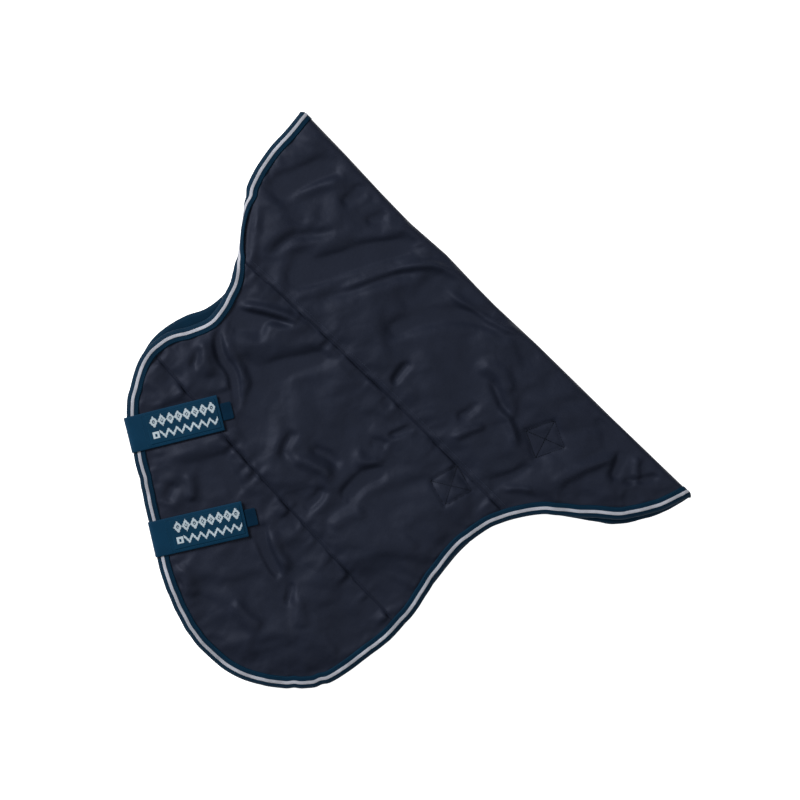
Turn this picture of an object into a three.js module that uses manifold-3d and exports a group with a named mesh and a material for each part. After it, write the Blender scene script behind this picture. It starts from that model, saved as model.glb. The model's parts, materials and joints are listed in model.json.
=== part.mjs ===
// Padded neck hood of a turnout rug, folded in half along its crest and laid flat.
// Millimetres, +Z up. +X runs along the crest from the poll to the withers; the free edge lies towards -Y.
// The far half lies on the ground with its shell down. The near half lies on it with its shell up.
// Two straps are sewn inside the far half, come round the front edge and close on the near half.
import * as THREE from "three";
import { mergeVertices } from "three/addons/utils/BufferGeometryUtils.js";
import Module from "manifold-3d";

// --- Overall sizes ---
const HOOD_LENGTH = 854; // along the crest, poll tip to withers tip
const HOOD_DEPTH = 707; // crest to the lowest point of the chest lobe
const CLEARANCE = 0.3; // between pieces that touch

// Free edge of the near half, from the poll tip round the throat and the chest to the withers tip:
// share of the length, share of the depth, and how far the far half shows outside it there in mm.
const FREE_EDGE = [
  [0.0, 0.0, 0],
  [0.008, 0.12, 0],
  [0.023, 0.197, 0],
  [0.069, 0.273, 0],
  [0.104, 0.335, 0],
  [0.131, 0.393, 0],
  [0.144, 0.464, 15],
  [0.131, 0.51, 18],
  [0.105, 0.574, 8],
  [0.105, 0.631, 0],
  [0.131, 0.7, 0],
  [0.16, 0.744, 0],
  [0.222, 0.8, 0],
  [0.276, 0.842, 0],
  [0.319, 0.875, 0],
  [0.385, 0.925, 0],
  [0.472, 0.979, 0],
  [0.556, 1.0, 0],
  [0.643, 0.986, 0],
  [0.719, 0.931, 0],
  [0.766, 0.857, 0],
  [0.787, 0.734, 0],
  [0.79, 0.642, 0],
  [0.774, 0.519, 0],
  [0.768, 0.436, 0],
  [0.782, 0.351, 0],
  [0.822, 0.269, 0],
  [0.883, 0.205, 4],
  [0.936, 0.15, 8],
  [0.972, 0.082, 6],
  [1.0, 0.0, 0],
];
const EDGE_STEPS = 76; // of the modelled edge
const REACH_STEPS = 1500; // of the edge when the straps are set against it
const FOLD_STEPS = 8; // of the half circle round the crest
const CORNER_STEPS = 4; // of a rounded webbing corner

// --- Layers of one half, from its outer face to its inner face ---
const SHELL_THICKNESS = 1.0;
const FILL_THICKNESS = 5.0;
const LINING_THICKNESS = 0.8;

// --- Edge binding and its stripe ---
const BINDING_WIDTH = 20;
const BINDING_THICKNESS = 1.2;
const STRIPE_INSET = 7.5; // outer edge of the binding to the stripe
const STRIPE_WIDTH = 5.5;
const STRIPE_THICKNESS = 0.4;

// --- Seams ---
const CREST_PANEL_DEPTH = 225; // crest to the straight seam
const CHEST_PANEL_FRONT = 286; // lowest point of the chest lobe up to the curved seam, at the front edge
const CHEST_PANEL_MIDDLE = 252;
const CHEST_PANEL_BACK = 238;
const SEAM_STEPS = 10;

// --- Straps ---
const STRAP_WIDTH = 56;
const STRAP_THICKNESS = 1.4;
const STRAP_LENGTH = 148; // front edge to the end of the flap
const STRAP_BASE_LENGTH = 62; // sewn inside the far half
const TAPE_THICKNESS = 0.9; // hook tape and loop patch
const TAPE_LENGTH = 74;
const TAPE_MARGIN = 3; // strap edge to tape edge
const LABEL_START = 32; // front edge to the label
const LABEL_LENGTH = 112;
const LABEL_WIDTH = 46;
const LABEL_THICKNESS = 0.4;
const PULL_TAB_LENGTH = 18;
const PULL_TAB_WIDTH = 27;
const PULL_TAB_CORNER = 2.5;
// Distance along the free edge from the poll tip, and turn from the inward square of the edge.
const STRAPS = [
  { name: "upper", along: 615, turn: 4 },
  { name: "lower", along: 781, turn: 0 },
];

// --- Rug tabs sewn inside, behind the stitched squares ---
const TAB_WIDTH = 48;
const TAB_LENGTH = 88;
const TAB_THICKNESS = 1.2;
const TAB_SEWN = 25; // centre of the stitched square to the sewn end
const TAB_CORNER = 6;
// Where the free end lies: its station along the free edge from the withers tip, its gap to the binding,
// and its turn from the outward square of the edge.
const TABS = [
  { name: "upper", station: 222, gap: 38, turn: 24 },
  { name: "lower", station: 345, gap: 6, turn: -4 },
];

// --- Heights and places that follow from the sizes ---
const CREST_Y = HOOD_DEPTH / 2;
const SHELL_Z = BINDING_THICKNESS + CLEARANCE;
const FILL_Z = SHELL_Z + SHELL_THICKNESS + CLEARANCE;
const LINING_Z = FILL_Z + FILL_THICKNESS + CLEARANCE;
const HALF_THICKNESS = LINING_Z + LINING_THICKNESS + CLEARANCE + BINDING_THICKNESS;
const STACK_THICKNESS = 2 * HALF_THICKNESS + STRAP_THICKNESS + 2 * CLEARANCE;
const FOLD_Z = STACK_THICKNESS / 2;
const FOLD_RADIUS = FOLD_Z - SHELL_Z; // of the shell's outer face
const FOLD_Y = CREST_Y - FOLD_RADIUS;
const STRAIGHT_SEAM_Y = CREST_Y - CREST_PANEL_DEPTH;
const LOBE_Y = CREST_Y - HOOD_DEPTH;
const BASE_Z = HALF_THICKNESS + CLEARANCE;
const FLAP_Z = STACK_THICKNESS + CLEARANCE + TAPE_THICKNESS;
const FAR_AWAY = 2 * Math.max(HOOD_LENGTH, HOOD_DEPTH);

const wasm = await Module();
wasm.setup();

// --- Materials ---
function cloth(color, roughness) {
  return new THREE.MeshStandardMaterial({ color, roughness, metalness: 0 });
}
const SHELL_CLOTH = cloth(0x222631, 0.5);
const LINING_CLOTH = cloth(0x1b2433, 0.6);
const FILL_CLOTH = cloth(0xe8e8e4, 0.95);
const BINDING_TAPE = cloth(0x0f3145, 0.7);
const STRIPE_TAPE = cloth(0xc3c4d6, 0.5);
const STRAP_WEBBING = cloth(0x0c3046, 0.6);
const HOOK_LOOP_TAPE = cloth(0x10131b, 0.9);
const LABEL_CLOTH = cloth(0xb9c6cc, 0.6);

// --- Solids ---
function solidOf(geometry) {
  geometry.deleteAttribute("normal");
  geometry.deleteAttribute("uv");
  const merged = mergeVertices(geometry, 1e-4);
  return new wasm.Manifold(
    new wasm.Mesh({
      numProp: 3,
      vertProperties: merged.attributes.position.array,
      triVerts: new Uint32Array(merged.index.array),
    }),
  );
}

function meshOf(name, solid, material) {
  const made = solid.getMesh();
  const geometry = new THREE.BufferGeometry();
  geometry.setAttribute("position", new THREE.BufferAttribute(made.vertProperties, 3));
  geometry.setIndex(new THREE.BufferAttribute(made.triVerts, 1));
  const mesh = new THREE.Mesh(geometry, material);
  mesh.name = name;
  return mesh;
}

// A flat outline, raised from one height to another.
function plate(points, low, high) {
  const shape = new THREE.Shape(points);
  const geometry = new THREE.ExtrudeGeometry(shape, { depth: high - low, bevelEnabled: false });
  return solidOf(geometry.translate(0, 0, low));
}

function rectangle(x0, x1, y0, y1) {
  return [
    new THREE.Vector2(x0, y0),
    new THREE.Vector2(x1, y0),
    new THREE.Vector2(x1, y1),
    new THREE.Vector2(x0, y1),
  ];
}

// --- The free edge ---
function edgePoint([along, down]) {
  return new THREE.Vector3((along - 0.5) * HOOD_LENGTH, CREST_Y - down * HOOD_DEPTH, 0);
}

// The free edge as one curve. The far half's edge lies outside the near one's by the stated amounts.
function freeEdge(half) {
  const points = FREE_EDGE.map(edgePoint);
  const moved = points.map((point, i) => {
    if (half === "near") return point;
    const before = points[Math.max(i - 1, 0)];
    const after = points[Math.min(i + 1, points.length - 1)];
    const along = after.clone().sub(before).normalize();
    const outward = new THREE.Vector3(along.y, -along.x, 0);
    return point.clone().addScaledVector(outward, FREE_EDGE[i][2]);
  });
  return new THREE.CatmullRomCurve3(moved, false, "centripetal");
}

// The half's region at a distance inside its free edge. It runs past the crest, where it is cut later.
function insetRegion(curve, inset) {
  const points = [];
  for (let i = 0; i <= EDGE_STEPS; i++) {
    const along = curve.getTangentAt(i / EDGE_STEPS);
    const inward = new THREE.Vector2(-along.y, along.x);
    const point = curve.getPointAt(i / EDGE_STEPS);
    points.push(new THREE.Vector2(point.x, point.y).addScaledVector(inward, inset));
  }
  const first = points[0].clone().sub(points[1]).normalize();
  const last = points[EDGE_STEPS].clone().sub(points[EDGE_STEPS - 1]).normalize();
  const past = FOLD_RADIUS + inset;
  points.unshift(points[0].clone().addScaledVector(first, past));
  points.push(points[points.length - 1].clone().addScaledVector(last, past));
  return points;
}

const EDGES = { near: freeEdge("near"), far: freeEdge("far") };
const CREST_CUT = FOLD_Y - CLEARANCE / 2;

// A layer of one half, at a distance inside its free edge. Heights count from the half's outer face.
function layer(half, inset, low, high) {
  const [z0, z1] = half === "far" ? [low, high] : [STACK_THICKNESS - high, STACK_THICKNESS - low];
  const region = plate(insetRegion(EDGES[half], inset), z0, z1);
  const inboard = rectangle(-FAR_AWAY, FAR_AWAY, -FAR_AWAY, CREST_CUT);
  return region.intersect(plate(inboard, z0 - 1, z1 + 1));
}

function wholeHeight(outline) {
  return plate(outline, -1, STACK_THICKNESS + 1);
}

// --- Seams: the straight one is parallel to the crest, the curved one sweeps below it ---
function curvedSeam(shift) {
  const ends = [
    new THREE.Vector2(-HOOD_LENGTH / 2, LOBE_Y + CHEST_PANEL_FRONT + shift),
    new THREE.Vector2(0, LOBE_Y + CHEST_PANEL_MIDDLE + shift),
    new THREE.Vector2(HOOD_LENGTH / 2, LOBE_Y + CHEST_PANEL_BACK + shift),
  ];
  return new THREE.SplineCurve(ends).getPoints(SEAM_STEPS);
}

function aboveStraightSeam() {
  const low = STRAIGHT_SEAM_Y + CLEARANCE / 2;
  return wholeHeight(rectangle(-FAR_AWAY, FAR_AWAY, low, FAR_AWAY));
}

function belowCurvedSeam(shift) {
  const seam = curvedSeam(shift);
  return wholeHeight([
    new THREE.Vector2(-FAR_AWAY, -FAR_AWAY),
    new THREE.Vector2(FAR_AWAY, -FAR_AWAY),
    new THREE.Vector2(FAR_AWAY, seam[SEAM_STEPS].y),
    ...seam.slice().reverse(),
    new THREE.Vector2(-FAR_AWAY, seam[0].y),
  ]);
}

function belowStraightSeam() {
  const high = STRAIGHT_SEAM_Y - CLEARANCE / 2;
  return wholeHeight(rectangle(-FAR_AWAY, FAR_AWAY, -FAR_AWAY, high));
}

// --- One half: three shell panels, the fill, the lining, the binding and its stripe ---
function halfPieces(half) {
  const inside = BINDING_THICKNESS + CLEARANCE;
  const shell = layer(half, inside, SHELL_Z, SHELL_Z + SHELL_THICKNESS);
  const group = new THREE.Group();
  const neck = shell.intersect(belowStraightSeam()).subtract(belowCurvedSeam(CLEARANCE / 2));
  group.add(meshOf(half + "_crest_panel", shell.intersect(aboveStraightSeam()), SHELL_CLOTH));
  group.add(meshOf(half + "_neck_panel", neck, SHELL_CLOTH));
  const chest = shell.intersect(belowCurvedSeam(-CLEARANCE / 2));
  group.add(meshOf(half + "_chest_panel", chest, SHELL_CLOTH));
  const fill = layer(half, inside, FILL_Z, FILL_Z + FILL_THICKNESS);
  group.add(meshOf(half + "_fill", fill, FILL_CLOTH));
  const lining = layer(half, inside, LINING_Z, LINING_Z + LINING_THICKNESS);
  group.add(meshOf(half + "_lining", lining, LINING_CLOTH));
  group.add(meshOf(half + "_binding", binding(half), BINDING_TAPE));
  group.add(meshOf(half + "_silver_stripe", stripe(half, 0, STRIPE_THICKNESS), STRIPE_TAPE));
  return group;
}

// Tape folded over the free edge: a flange on each face and a wall at the edge.
function binding(half) {
  const folded = layer(half, 0, 0, HALF_THICKNESS);
  const slot = layer(half, BINDING_THICKNESS, BINDING_THICKNESS, HALF_THICKNESS - BINDING_THICKNESS);
  const middle = layer(half, BINDING_WIDTH, -1, HALF_THICKNESS + 1);
  const groove = stripe(half, CLEARANCE, STRIPE_THICKNESS + CLEARANCE);
  return folded.subtract(slot).subtract(middle).subtract(groove);
}

// The stripe's band in the outer flange, grown on both sides by a clearance.
function stripe(half, grow, depth) {
  const low = grow > 0 ? -1 : 0;
  const outer = layer(half, STRIPE_INSET - grow, low, depth);
  return outer.subtract(layer(half, STRIPE_INSET + STRIPE_WIDTH + grow, -2, depth + 1));
}

// Shell cloth round the crest, a half pipe outboard of the two halves.
function crestFoldStrip() {
  const inner = FOLD_RADIUS - SHELL_THICKNESS;
  const profile = new THREE.Shape();
  profile.absarc(0, 0, FOLD_RADIUS, -Math.PI / 2, Math.PI / 2, false);
  profile.absarc(0, 0, inner, Math.PI / 2, -Math.PI / 2, true);
  const geometry = new THREE.ExtrudeGeometry(profile, {
    depth: HOOD_LENGTH,
    bevelEnabled: false,
    curveSegments: FOLD_STEPS,
  });
  // The profile's own x points outboard (+Y) and its y points up; the length runs along +X.
  const turn = new THREE.Matrix4().makeBasis(
    new THREE.Vector3(0, 1, 0),
    new THREE.Vector3(0, 0, 1),
    new THREE.Vector3(1, 0, 0),
  );
  geometry.applyMatrix4(turn);
  const mesh = meshOf("crest_fold_strip", solidOf(geometry), SHELL_CLOTH);
  mesh.position.set(-HOOD_LENGTH / 2, FOLD_Y + CLEARANCE / 2, FOLD_Z);
  return mesh;
}

// --- Straps ---
// Where a strap crosses the front edge: level with the edge's outermost point across the strap's width.
function strapPlace({ along, turn }) {
  const curve = EDGES.near;
  const share = along / curve.getLength();
  const centre = curve.getPointAt(share);
  const tangent = curve.getTangentAt(share);
  const angle = Math.atan2(tangent.x, -tangent.y) + THREE.MathUtils.degToRad(turn);
  const inward = new THREE.Vector3(Math.cos(angle), Math.sin(angle), 0);
  const across = new THREE.Vector3(-inward.y, inward.x, 0);
  let reach = 0;
  for (const edge of Object.values(EDGES)) {
    for (const point of edge.getSpacedPoints(REACH_STEPS)) {
      const offset = point.clone().sub(centre);
      const inStrap = Math.abs(offset.dot(across)) < STRAP_WIDTH / 2 + CLEARANCE;
      const nearby = offset.length() < STRAP_LENGTH;
      if (inStrap && nearby) reach = Math.min(reach, offset.dot(inward));
    }
  }
  return { angle, start: centre.addScaledVector(inward, reach) };
}

function block(x0, x1, width, z0, z1) {
  return plate(rectangle(x0, x1, -width / 2, width / 2), z0, z1);
}

// A webbing end with its two corners rounded off.
function roundedBlock(x0, x1, width, radius, z0, z1) {
  const shape = new THREE.Shape();
  shape.moveTo(x0, -width / 2);
  shape.lineTo(x1 - radius, -width / 2);
  shape.absarc(x1 - radius, -width / 2 + radius, radius, -Math.PI / 2, 0, false);
  shape.absarc(x1 - radius, width / 2 - radius, radius, 0, Math.PI / 2, false);
  shape.lineTo(x0, width / 2);
  const geometry = new THREE.ExtrudeGeometry(shape, {
    depth: z1 - z0,
    bevelEnabled: false,
    curveSegments: CORNER_STEPS,
  });
  return solidOf(geometry.translate(0, 0, z0));
}

// Pieces lie in a group whose x runs inward along the strap from the front edge.
// The flap's own group stands on its hinge line, at the outer top corner of the strap's wall.
function strapPieces(strap) {
  const { angle, start } = strapPlace(strap);
  const group = new THREE.Group();
  group.position.copy(start);
  group.rotation.z = angle;

  const wallOuter = -CLEARANCE - STRAP_THICKNESS;
  const base = block(wallOuter, STRAP_BASE_LENGTH, STRAP_WIDTH, BASE_Z, BASE_Z + STRAP_THICKNESS);
  const wall = block(wallOuter, -CLEARANCE, STRAP_WIDTH, BASE_Z, FLAP_Z - CLEARANCE);
  group.add(meshOf(strap.name + "_strap_base", base.add(wall), STRAP_WEBBING));

  const hinge = new THREE.Vector3(wallOuter - CLEARANCE / 2, 0, FLAP_Z - CLEARANCE / 2);
  const flap = new THREE.Group();
  flap.name = strap.name + "_strap_hinge";
  flap.position.copy(hinge);
  group.add(flap);
  const flapLow = FLAP_Z - hinge.z;
  const flapEnd = STRAP_LENGTH - hinge.x;
  const webbing = block(CLEARANCE / 2, flapEnd, STRAP_WIDTH, flapLow, flapLow + STRAP_THICKNESS);
  flap.add(meshOf(strap.name + "_strap_flap", webbing, STRAP_WEBBING));
  const tapeHigh = flapLow - CLEARANCE;
  const tapeLow = tapeHigh - TAPE_THICKNESS;
  const tapeWidth = STRAP_WIDTH - 2 * TAPE_MARGIN;
  const tape = block(flapEnd - TAPE_LENGTH, flapEnd, tapeWidth, tapeLow, tapeHigh);
  flap.add(meshOf(strap.name + "_hook_tape", tape, HOOK_LOOP_TAPE));
  const labelStart = LABEL_START - hinge.x;
  const labelLow = flapLow + STRAP_THICKNESS + CLEARANCE;
  const labelHigh = labelLow + LABEL_THICKNESS;
  const label = block(labelStart, labelStart + LABEL_LENGTH, LABEL_WIDTH, labelLow, labelHigh);
  flap.add(meshOf(strap.name + "_woven_label", label, LABEL_CLOTH));

  const tab = new THREE.Group();
  tab.name = strap.name + "_pull_tab_hinge";
  tab.position.set(flapEnd + CLEARANCE / 2, 0, flapLow - CLEARANCE / 2);
  flap.add(tab);
  const tabEnd = CLEARANCE / 2 + PULL_TAB_LENGTH;
  const tabHigh = -CLEARANCE / 2;
  const tabLow = tabHigh - TAPE_THICKNESS;
  const pull = roundedBlock(CLEARANCE / 2, tabEnd, PULL_TAB_WIDTH, PULL_TAB_CORNER, tabLow, tabHigh);
  tab.add(meshOf(strap.name + "_pull_tab", pull, STRAP_WEBBING));

  // The loop patch lies on the near shell, right under the hook tape.
  const patchLow = STACK_THICKNESS - SHELL_Z + CLEARANCE;
  const patchHigh = patchLow + TAPE_THICKNESS;
  const patch = block(STRAP_LENGTH - TAPE_LENGTH, STRAP_LENGTH, tapeWidth, patchLow, patchHigh);
  group.add(meshOf(strap.name + "_loop_patch", patch, HOOK_LOOP_TAPE));
  return group;
}

// --- Rug tabs: one inside each half behind each stitched square ---
// The centre of the stitched square and the way the tab points, from where its free end lies.
function rugTabPlace({ station, gap, turn }) {
  const curve = EDGES.near;
  const share = 1 - station / curve.getLength();
  const tangent = curve.getTangentAt(share);
  const outward = new THREE.Vector3(tangent.y, -tangent.x, 0);
  const end = curve.getPointAt(share).addScaledVector(outward, -BINDING_WIDTH - gap);
  const angle = Math.atan2(outward.y, outward.x) + THREE.MathUtils.degToRad(turn);
  const heading = new THREE.Vector3(Math.cos(angle), Math.sin(angle), 0);
  return { angle, centre: end.addScaledVector(heading, TAB_SEWN - TAB_LENGTH) };
}

function rugTab(half, tab) {
  const { angle, centre } = rugTabPlace(tab);
  const low = HALF_THICKNESS - BINDING_THICKNESS;
  const high = low + TAB_THICKNESS;
  const [z0, z1] = half === "far" ? [low, high] : [STACK_THICKNESS - high, STACK_THICKNESS - low];
  const solid = roundedBlock(-TAB_SEWN, TAB_LENGTH - TAB_SEWN, TAB_WIDTH, TAB_CORNER, z0, z1);
  const mesh = meshOf(half + "_" + tab.name + "_rug_tab", solid, STRAP_WEBBING);
  mesh.position.copy(centre);
  mesh.rotation.z = angle;
  return mesh;
}

// --- The hood, moved so that its origin is at the middle of its base ---
const hood = new THREE.Group();
for (const half of ["far", "near"]) {
  hood.add(halfPieces(half));
  for (const tab of TABS) hood.add(rugTab(half, tab));
}
hood.add(crestFoldStrip());
for (const strap of STRAPS) hood.add(strapPieces(strap));

const box = new THREE.Box3().setFromObject(hood);
const middle = box.getCenter(new THREE.Vector3());
hood.position.set(-middle.x, -middle.y, -box.min.z);

const rug = new THREE.Group();
rug.add(hood);

export default rug;
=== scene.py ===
"""Looks of a padded neck hood of a turnout rug, folded along its crest and laid flat, round its CAD model.

Lengths are in millimetres until a mesh is made. The cloth is worked out unfolded, as points (x, t): x runs
along the crest from the poll to the withers, and t is the distance from the crest along the cloth, above 0
on the near half and below 0 on the far half. A height h counts outward from the shell's outer face.
"""
import json
import math

import bpy
import numpy as np
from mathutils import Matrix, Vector, geometry


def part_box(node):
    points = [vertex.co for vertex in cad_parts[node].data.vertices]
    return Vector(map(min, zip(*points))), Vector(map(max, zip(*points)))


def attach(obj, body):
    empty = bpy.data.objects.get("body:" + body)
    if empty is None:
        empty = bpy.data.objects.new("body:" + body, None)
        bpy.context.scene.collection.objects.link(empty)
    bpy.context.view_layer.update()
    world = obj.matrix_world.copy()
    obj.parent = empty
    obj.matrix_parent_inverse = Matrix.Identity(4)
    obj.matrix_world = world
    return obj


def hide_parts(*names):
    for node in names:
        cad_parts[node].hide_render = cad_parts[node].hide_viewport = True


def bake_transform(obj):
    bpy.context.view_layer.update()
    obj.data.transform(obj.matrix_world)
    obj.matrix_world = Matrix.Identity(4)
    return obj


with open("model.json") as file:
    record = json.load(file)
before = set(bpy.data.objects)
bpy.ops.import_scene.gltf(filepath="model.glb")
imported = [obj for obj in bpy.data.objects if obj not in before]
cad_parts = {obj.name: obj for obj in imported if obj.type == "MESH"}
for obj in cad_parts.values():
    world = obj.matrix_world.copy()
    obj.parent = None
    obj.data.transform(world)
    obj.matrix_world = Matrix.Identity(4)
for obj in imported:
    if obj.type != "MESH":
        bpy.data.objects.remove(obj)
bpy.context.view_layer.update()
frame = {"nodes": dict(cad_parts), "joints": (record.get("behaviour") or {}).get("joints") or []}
MM = 0.001

# --- Sizes read from the frame ---
FOLD_LOW, FOLD_HIGH = (np.array(corner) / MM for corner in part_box("crest_fold_strip"))
NEAR_LOW = np.array(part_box("near_binding")[0]) / MM
FOLD_CLEARANCE = 0.15
FOLD_Y = FOLD_LOW[1] - FOLD_CLEARANCE
FOLD_Z = (FOLD_LOW[2] + FOLD_HIGH[2]) / 2
FOLD_RADIUS = (FOLD_HIGH[2] - FOLD_LOW[2]) / 2
ARC = math.pi / 2 * FOLD_RADIUS  # cloth from the crest line to where a half is flat
HOOD_LENGTH = FOLD_HIGH[0] - FOLD_LOW[0]
HOOD_MIDDLE = (FOLD_HIGH[0] + FOLD_LOW[0]) / 2
CREST_Y = FOLD_Y + FOLD_RADIUS
HOOD_DEPTH = CREST_Y - NEAR_LOW[1]
LOBE_Y = CREST_Y - HOOD_DEPTH

# Free edge of the near half, from the poll tip round the throat and the chest to the withers tip:
# share of the length, share of the depth, and how far the far half shows outside it there.
FREE_EDGE = [
    (0.0, 0.0, 0),
    (0.008, 0.12, 0),
    (0.023, 0.197, 0),
    (0.069, 0.273, 0),
    (0.104, 0.335, 0),
    (0.131, 0.393, 0),
    (0.144, 0.464, 15),
    (0.131, 0.51, 18),
    (0.105, 0.574, 8),
    (0.105, 0.631, 0),
    (0.131, 0.7, 0),
    (0.16, 0.744, 0),
    (0.222, 0.8, 0),
    (0.276, 0.842, 0),
    (0.319, 0.875, 0),
    (0.385, 0.925, 0),
    (0.472, 0.979, 0),
    (0.556, 1.0, 0),
    (0.643, 0.986, 0),
    (0.719, 0.931, 0),
    (0.766, 0.857, 0),
    (0.787, 0.734, 0),
    (0.79, 0.642, 0),
    (0.774, 0.519, 0),
    (0.768, 0.436, 0),
    (0.782, 0.351, 0),
    (0.822, 0.269, 0),
    (0.883, 0.205, 4),
    (0.936, 0.15, 8),
    (0.972, 0.082, 6),
    (1.0, 0.0, 0),
]

# --- Seams: heights of the curved one above the lowest point of the chest lobe ---
SEAM_A_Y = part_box("near_crest_panel")[0][1] / MM
SEAM_A_BOW = [(-330, -7), (-250, -3), (-120, 0.5), (0, 2), (220, 0)]
CHEST_PANEL_FRONT = 286
CHEST_PANEL_MIDDLE = 252
CHEST_PANEL_BACK = 238

# Kinks of the near half's edge: where, how deep and how wide.
EDGE_KINKS = [
    (93, -337, 2.2, 9),
    (152, -322, 2.0, 9),
    (196, -296, 1.5, 8),
    (225, -262, 2.4, 9),
    (237, -169, 1.8, 8),
    (264, 167, 1.6, 10),
    (-205, -234, 1.2, 9),
    (-338, 120, 1.5, 8),
    (-396, 196, 1.8, 9),
]

# --- Binding ---
BINDING_WIDTH = 20
STRIPE_INSET = 7.5
STRIPE_WIDTH = 5.0

# --- Meshing ---
EDGE_SPACING = 2.5
NEAR_SPACING = 3.2
FAR_SPACING = 6.5
SHELL_INSET = 5.0


# ======================= Numbers =======================
def smoothstep(value):
    value = np.clip(value, 0, 1)
    return value * value * (3 - 2 * value)


def unit(vectors):
    """Rows made one long."""
    return vectors / np.linalg.norm(vectors, axis=-1, keepdims=True)


def run_along(points):
    """Distance along a line of points, from its first."""
    return np.concatenate([[0], np.cumsum(np.linalg.norm(np.diff(points, axis=0), axis=1))])


def value_noise(points, cell, seed):
    """Smooth noise from about -1 to 1 over the plane, with bumps about a cell apart."""
    size = 64
    lattice = np.random.default_rng(seed).uniform(-1, 1, (size, size))
    grid = np.asarray(points, float) / cell
    low = np.floor(grid).astype(int)
    part = grid - low
    part = part**3 * (part * (part * 6 - 15) + 10)
    x0, y0 = low[:, 0] % size, low[:, 1] % size
    x1, y1 = (x0 + 1) % size, (y0 + 1) % size
    bottom = lattice[x0, y0] * (1 - part[:, 0]) + lattice[x1, y0] * part[:, 0]
    top = lattice[x0, y1] * (1 - part[:, 0]) + lattice[x1, y1] * part[:, 0]
    return bottom * (1 - part[:, 1]) + top * part[:, 1]


def turned(points, degrees, stretch):
    """The plane turned, and shortened along the turned first axis, so that noise is drawn out along it."""
    angle = math.radians(degrees)
    along = points[:, 0] * math.cos(angle) + points[:, 1] * math.sin(angle)
    across = points[:, 1] * math.cos(angle) - points[:, 0] * math.sin(angle)
    return np.column_stack([along / stretch, across])


def line_noise(station, cell, seed):
    return value_noise(np.column_stack([station, np.zeros(len(station))]), cell, seed)


def catmull_rom(points, steps):
    """The centripetal Catmull-Rom curve through the points."""
    points = np.array(points, float)
    ends = np.vstack([2 * points[0] - points[1], points, 2 * points[-1] - points[-2]])
    t = np.linspace(0, 1, steps, endpoint=False)[:, None]
    pieces = []
    for a, b, c, d in zip(ends, ends[1:], ends[2:], ends[3:]):
        before, here, after = (math.dist(p, q) ** 0.5 for p, q in ((a, b), (b, c), (c, d)))
        start = ((b - a) / before - (c - a) / (before + here) + (c - b) / here) * here
        end = ((c - b) / here - (d - b) / (here + after) + (d - c) / after) * here
        second = -3 * b + 3 * c - 2 * start - end
        third = 2 * b - 2 * c + start + end
        pieces.append(b + start * t + second * t**2 + third * t**3)
    return np.vstack([*pieces, points[-1:]])


def resampled(points, spacing, closed=False):
    """Points at even steps along a line."""
    points = np.asarray(points, float)
    if closed:
        points = np.vstack([points, points[:1]])
    run = run_along(points)
    count = max(2, round(run[-1] / spacing))
    at = np.linspace(0, run[-1], count + 1)
    if closed:
        at = at[:-1]
    return np.column_stack([np.interp(at, run, points[:, i]) for i in range(points.shape[1])])


def smoothed_loop(values, sigma):
    """A closed row of values, smoothed with a bell of that many steps."""
    reach = int(4 * sigma) + 1
    bell = np.exp(-0.5 * (np.arange(-reach, reach + 1) / sigma) ** 2)
    bell /= bell.sum()
    wrapped = np.concatenate([values[-reach:], values, values[:reach]])
    if values.ndim == 1:
        return np.convolve(wrapped, bell, "valid")
    return np.column_stack([np.convolve(wrapped[:, i], bell, "valid") for i in range(values.shape[1])])


# ======================= The unfolded cloth =======================
def unfold(y):
    """t of a near point at height y."""
    return np.where(y <= FOLD_Y, ARC + FOLD_Y - y, ARC * (CREST_Y - y) / FOLD_RADIUS)


def height_of(t):
    """y of a near or far point."""
    return FOLD_Y + ARC - np.abs(t)


# How far the crest dips from a straight line: where along it, and how much.
CREST_WAVES = [
    (-427, 0), (-330, 2.5), (-250, 6), (-185, 7.5), (-110, 3), (-40, 5.5),
    (0, 6), (90, 3.5), (250, 3), (400, 1), (427, 0),
]
CREST_WAVE_REACH = 80
FOLD_SQUARENESS = 0.7


def fold_map(points, height):
    """Points (x, t) of the unfolded cloth and their heights h, as points of the folded hood."""
    x, t = points[:, 0], points[:, 1]
    radius = FOLD_RADIUS + height
    angle = np.clip(t / ARC, -1, 1) * math.pi / 2
    flat = np.clip(np.abs(t) - ARC, 0, None)
    wave = np.interp(x, *np.transpose(CREST_WAVES)) * (1 - smoothstep(flat / CREST_WAVE_REACH))
    cos, sin = np.cos(angle), np.sin(angle)
    y = FOLD_Y + radius * cos**FOLD_SQUARENESS - flat - wave
    z = FOLD_Z + radius * np.sign(sin) * np.abs(sin) ** FOLD_SQUARENESS
    return np.column_stack([x, y, z])


def edge_line(half):
    """The free edge of a half as points (x, t)."""
    rows = np.array(FREE_EDGE, float)
    x = HOOD_MIDDLE + (rows[:, 0] - 0.5) * HOOD_LENGTH
    points = np.column_stack([x, CREST_Y - rows[:, 1] * HOOD_DEPTH])
    if half == "far":
        along = unit(np.vstack([points[1] - points[0], points[2:] - points[:-2], points[-1] - points[-2]]))
        points = points + np.column_stack([along[:, 1], -along[:, 0]]) * rows[:, 2:]
    curve = catmull_rom(points, 12)
    return np.column_stack([curve[:, 0], unfold(curve[:, 1])])


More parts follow.
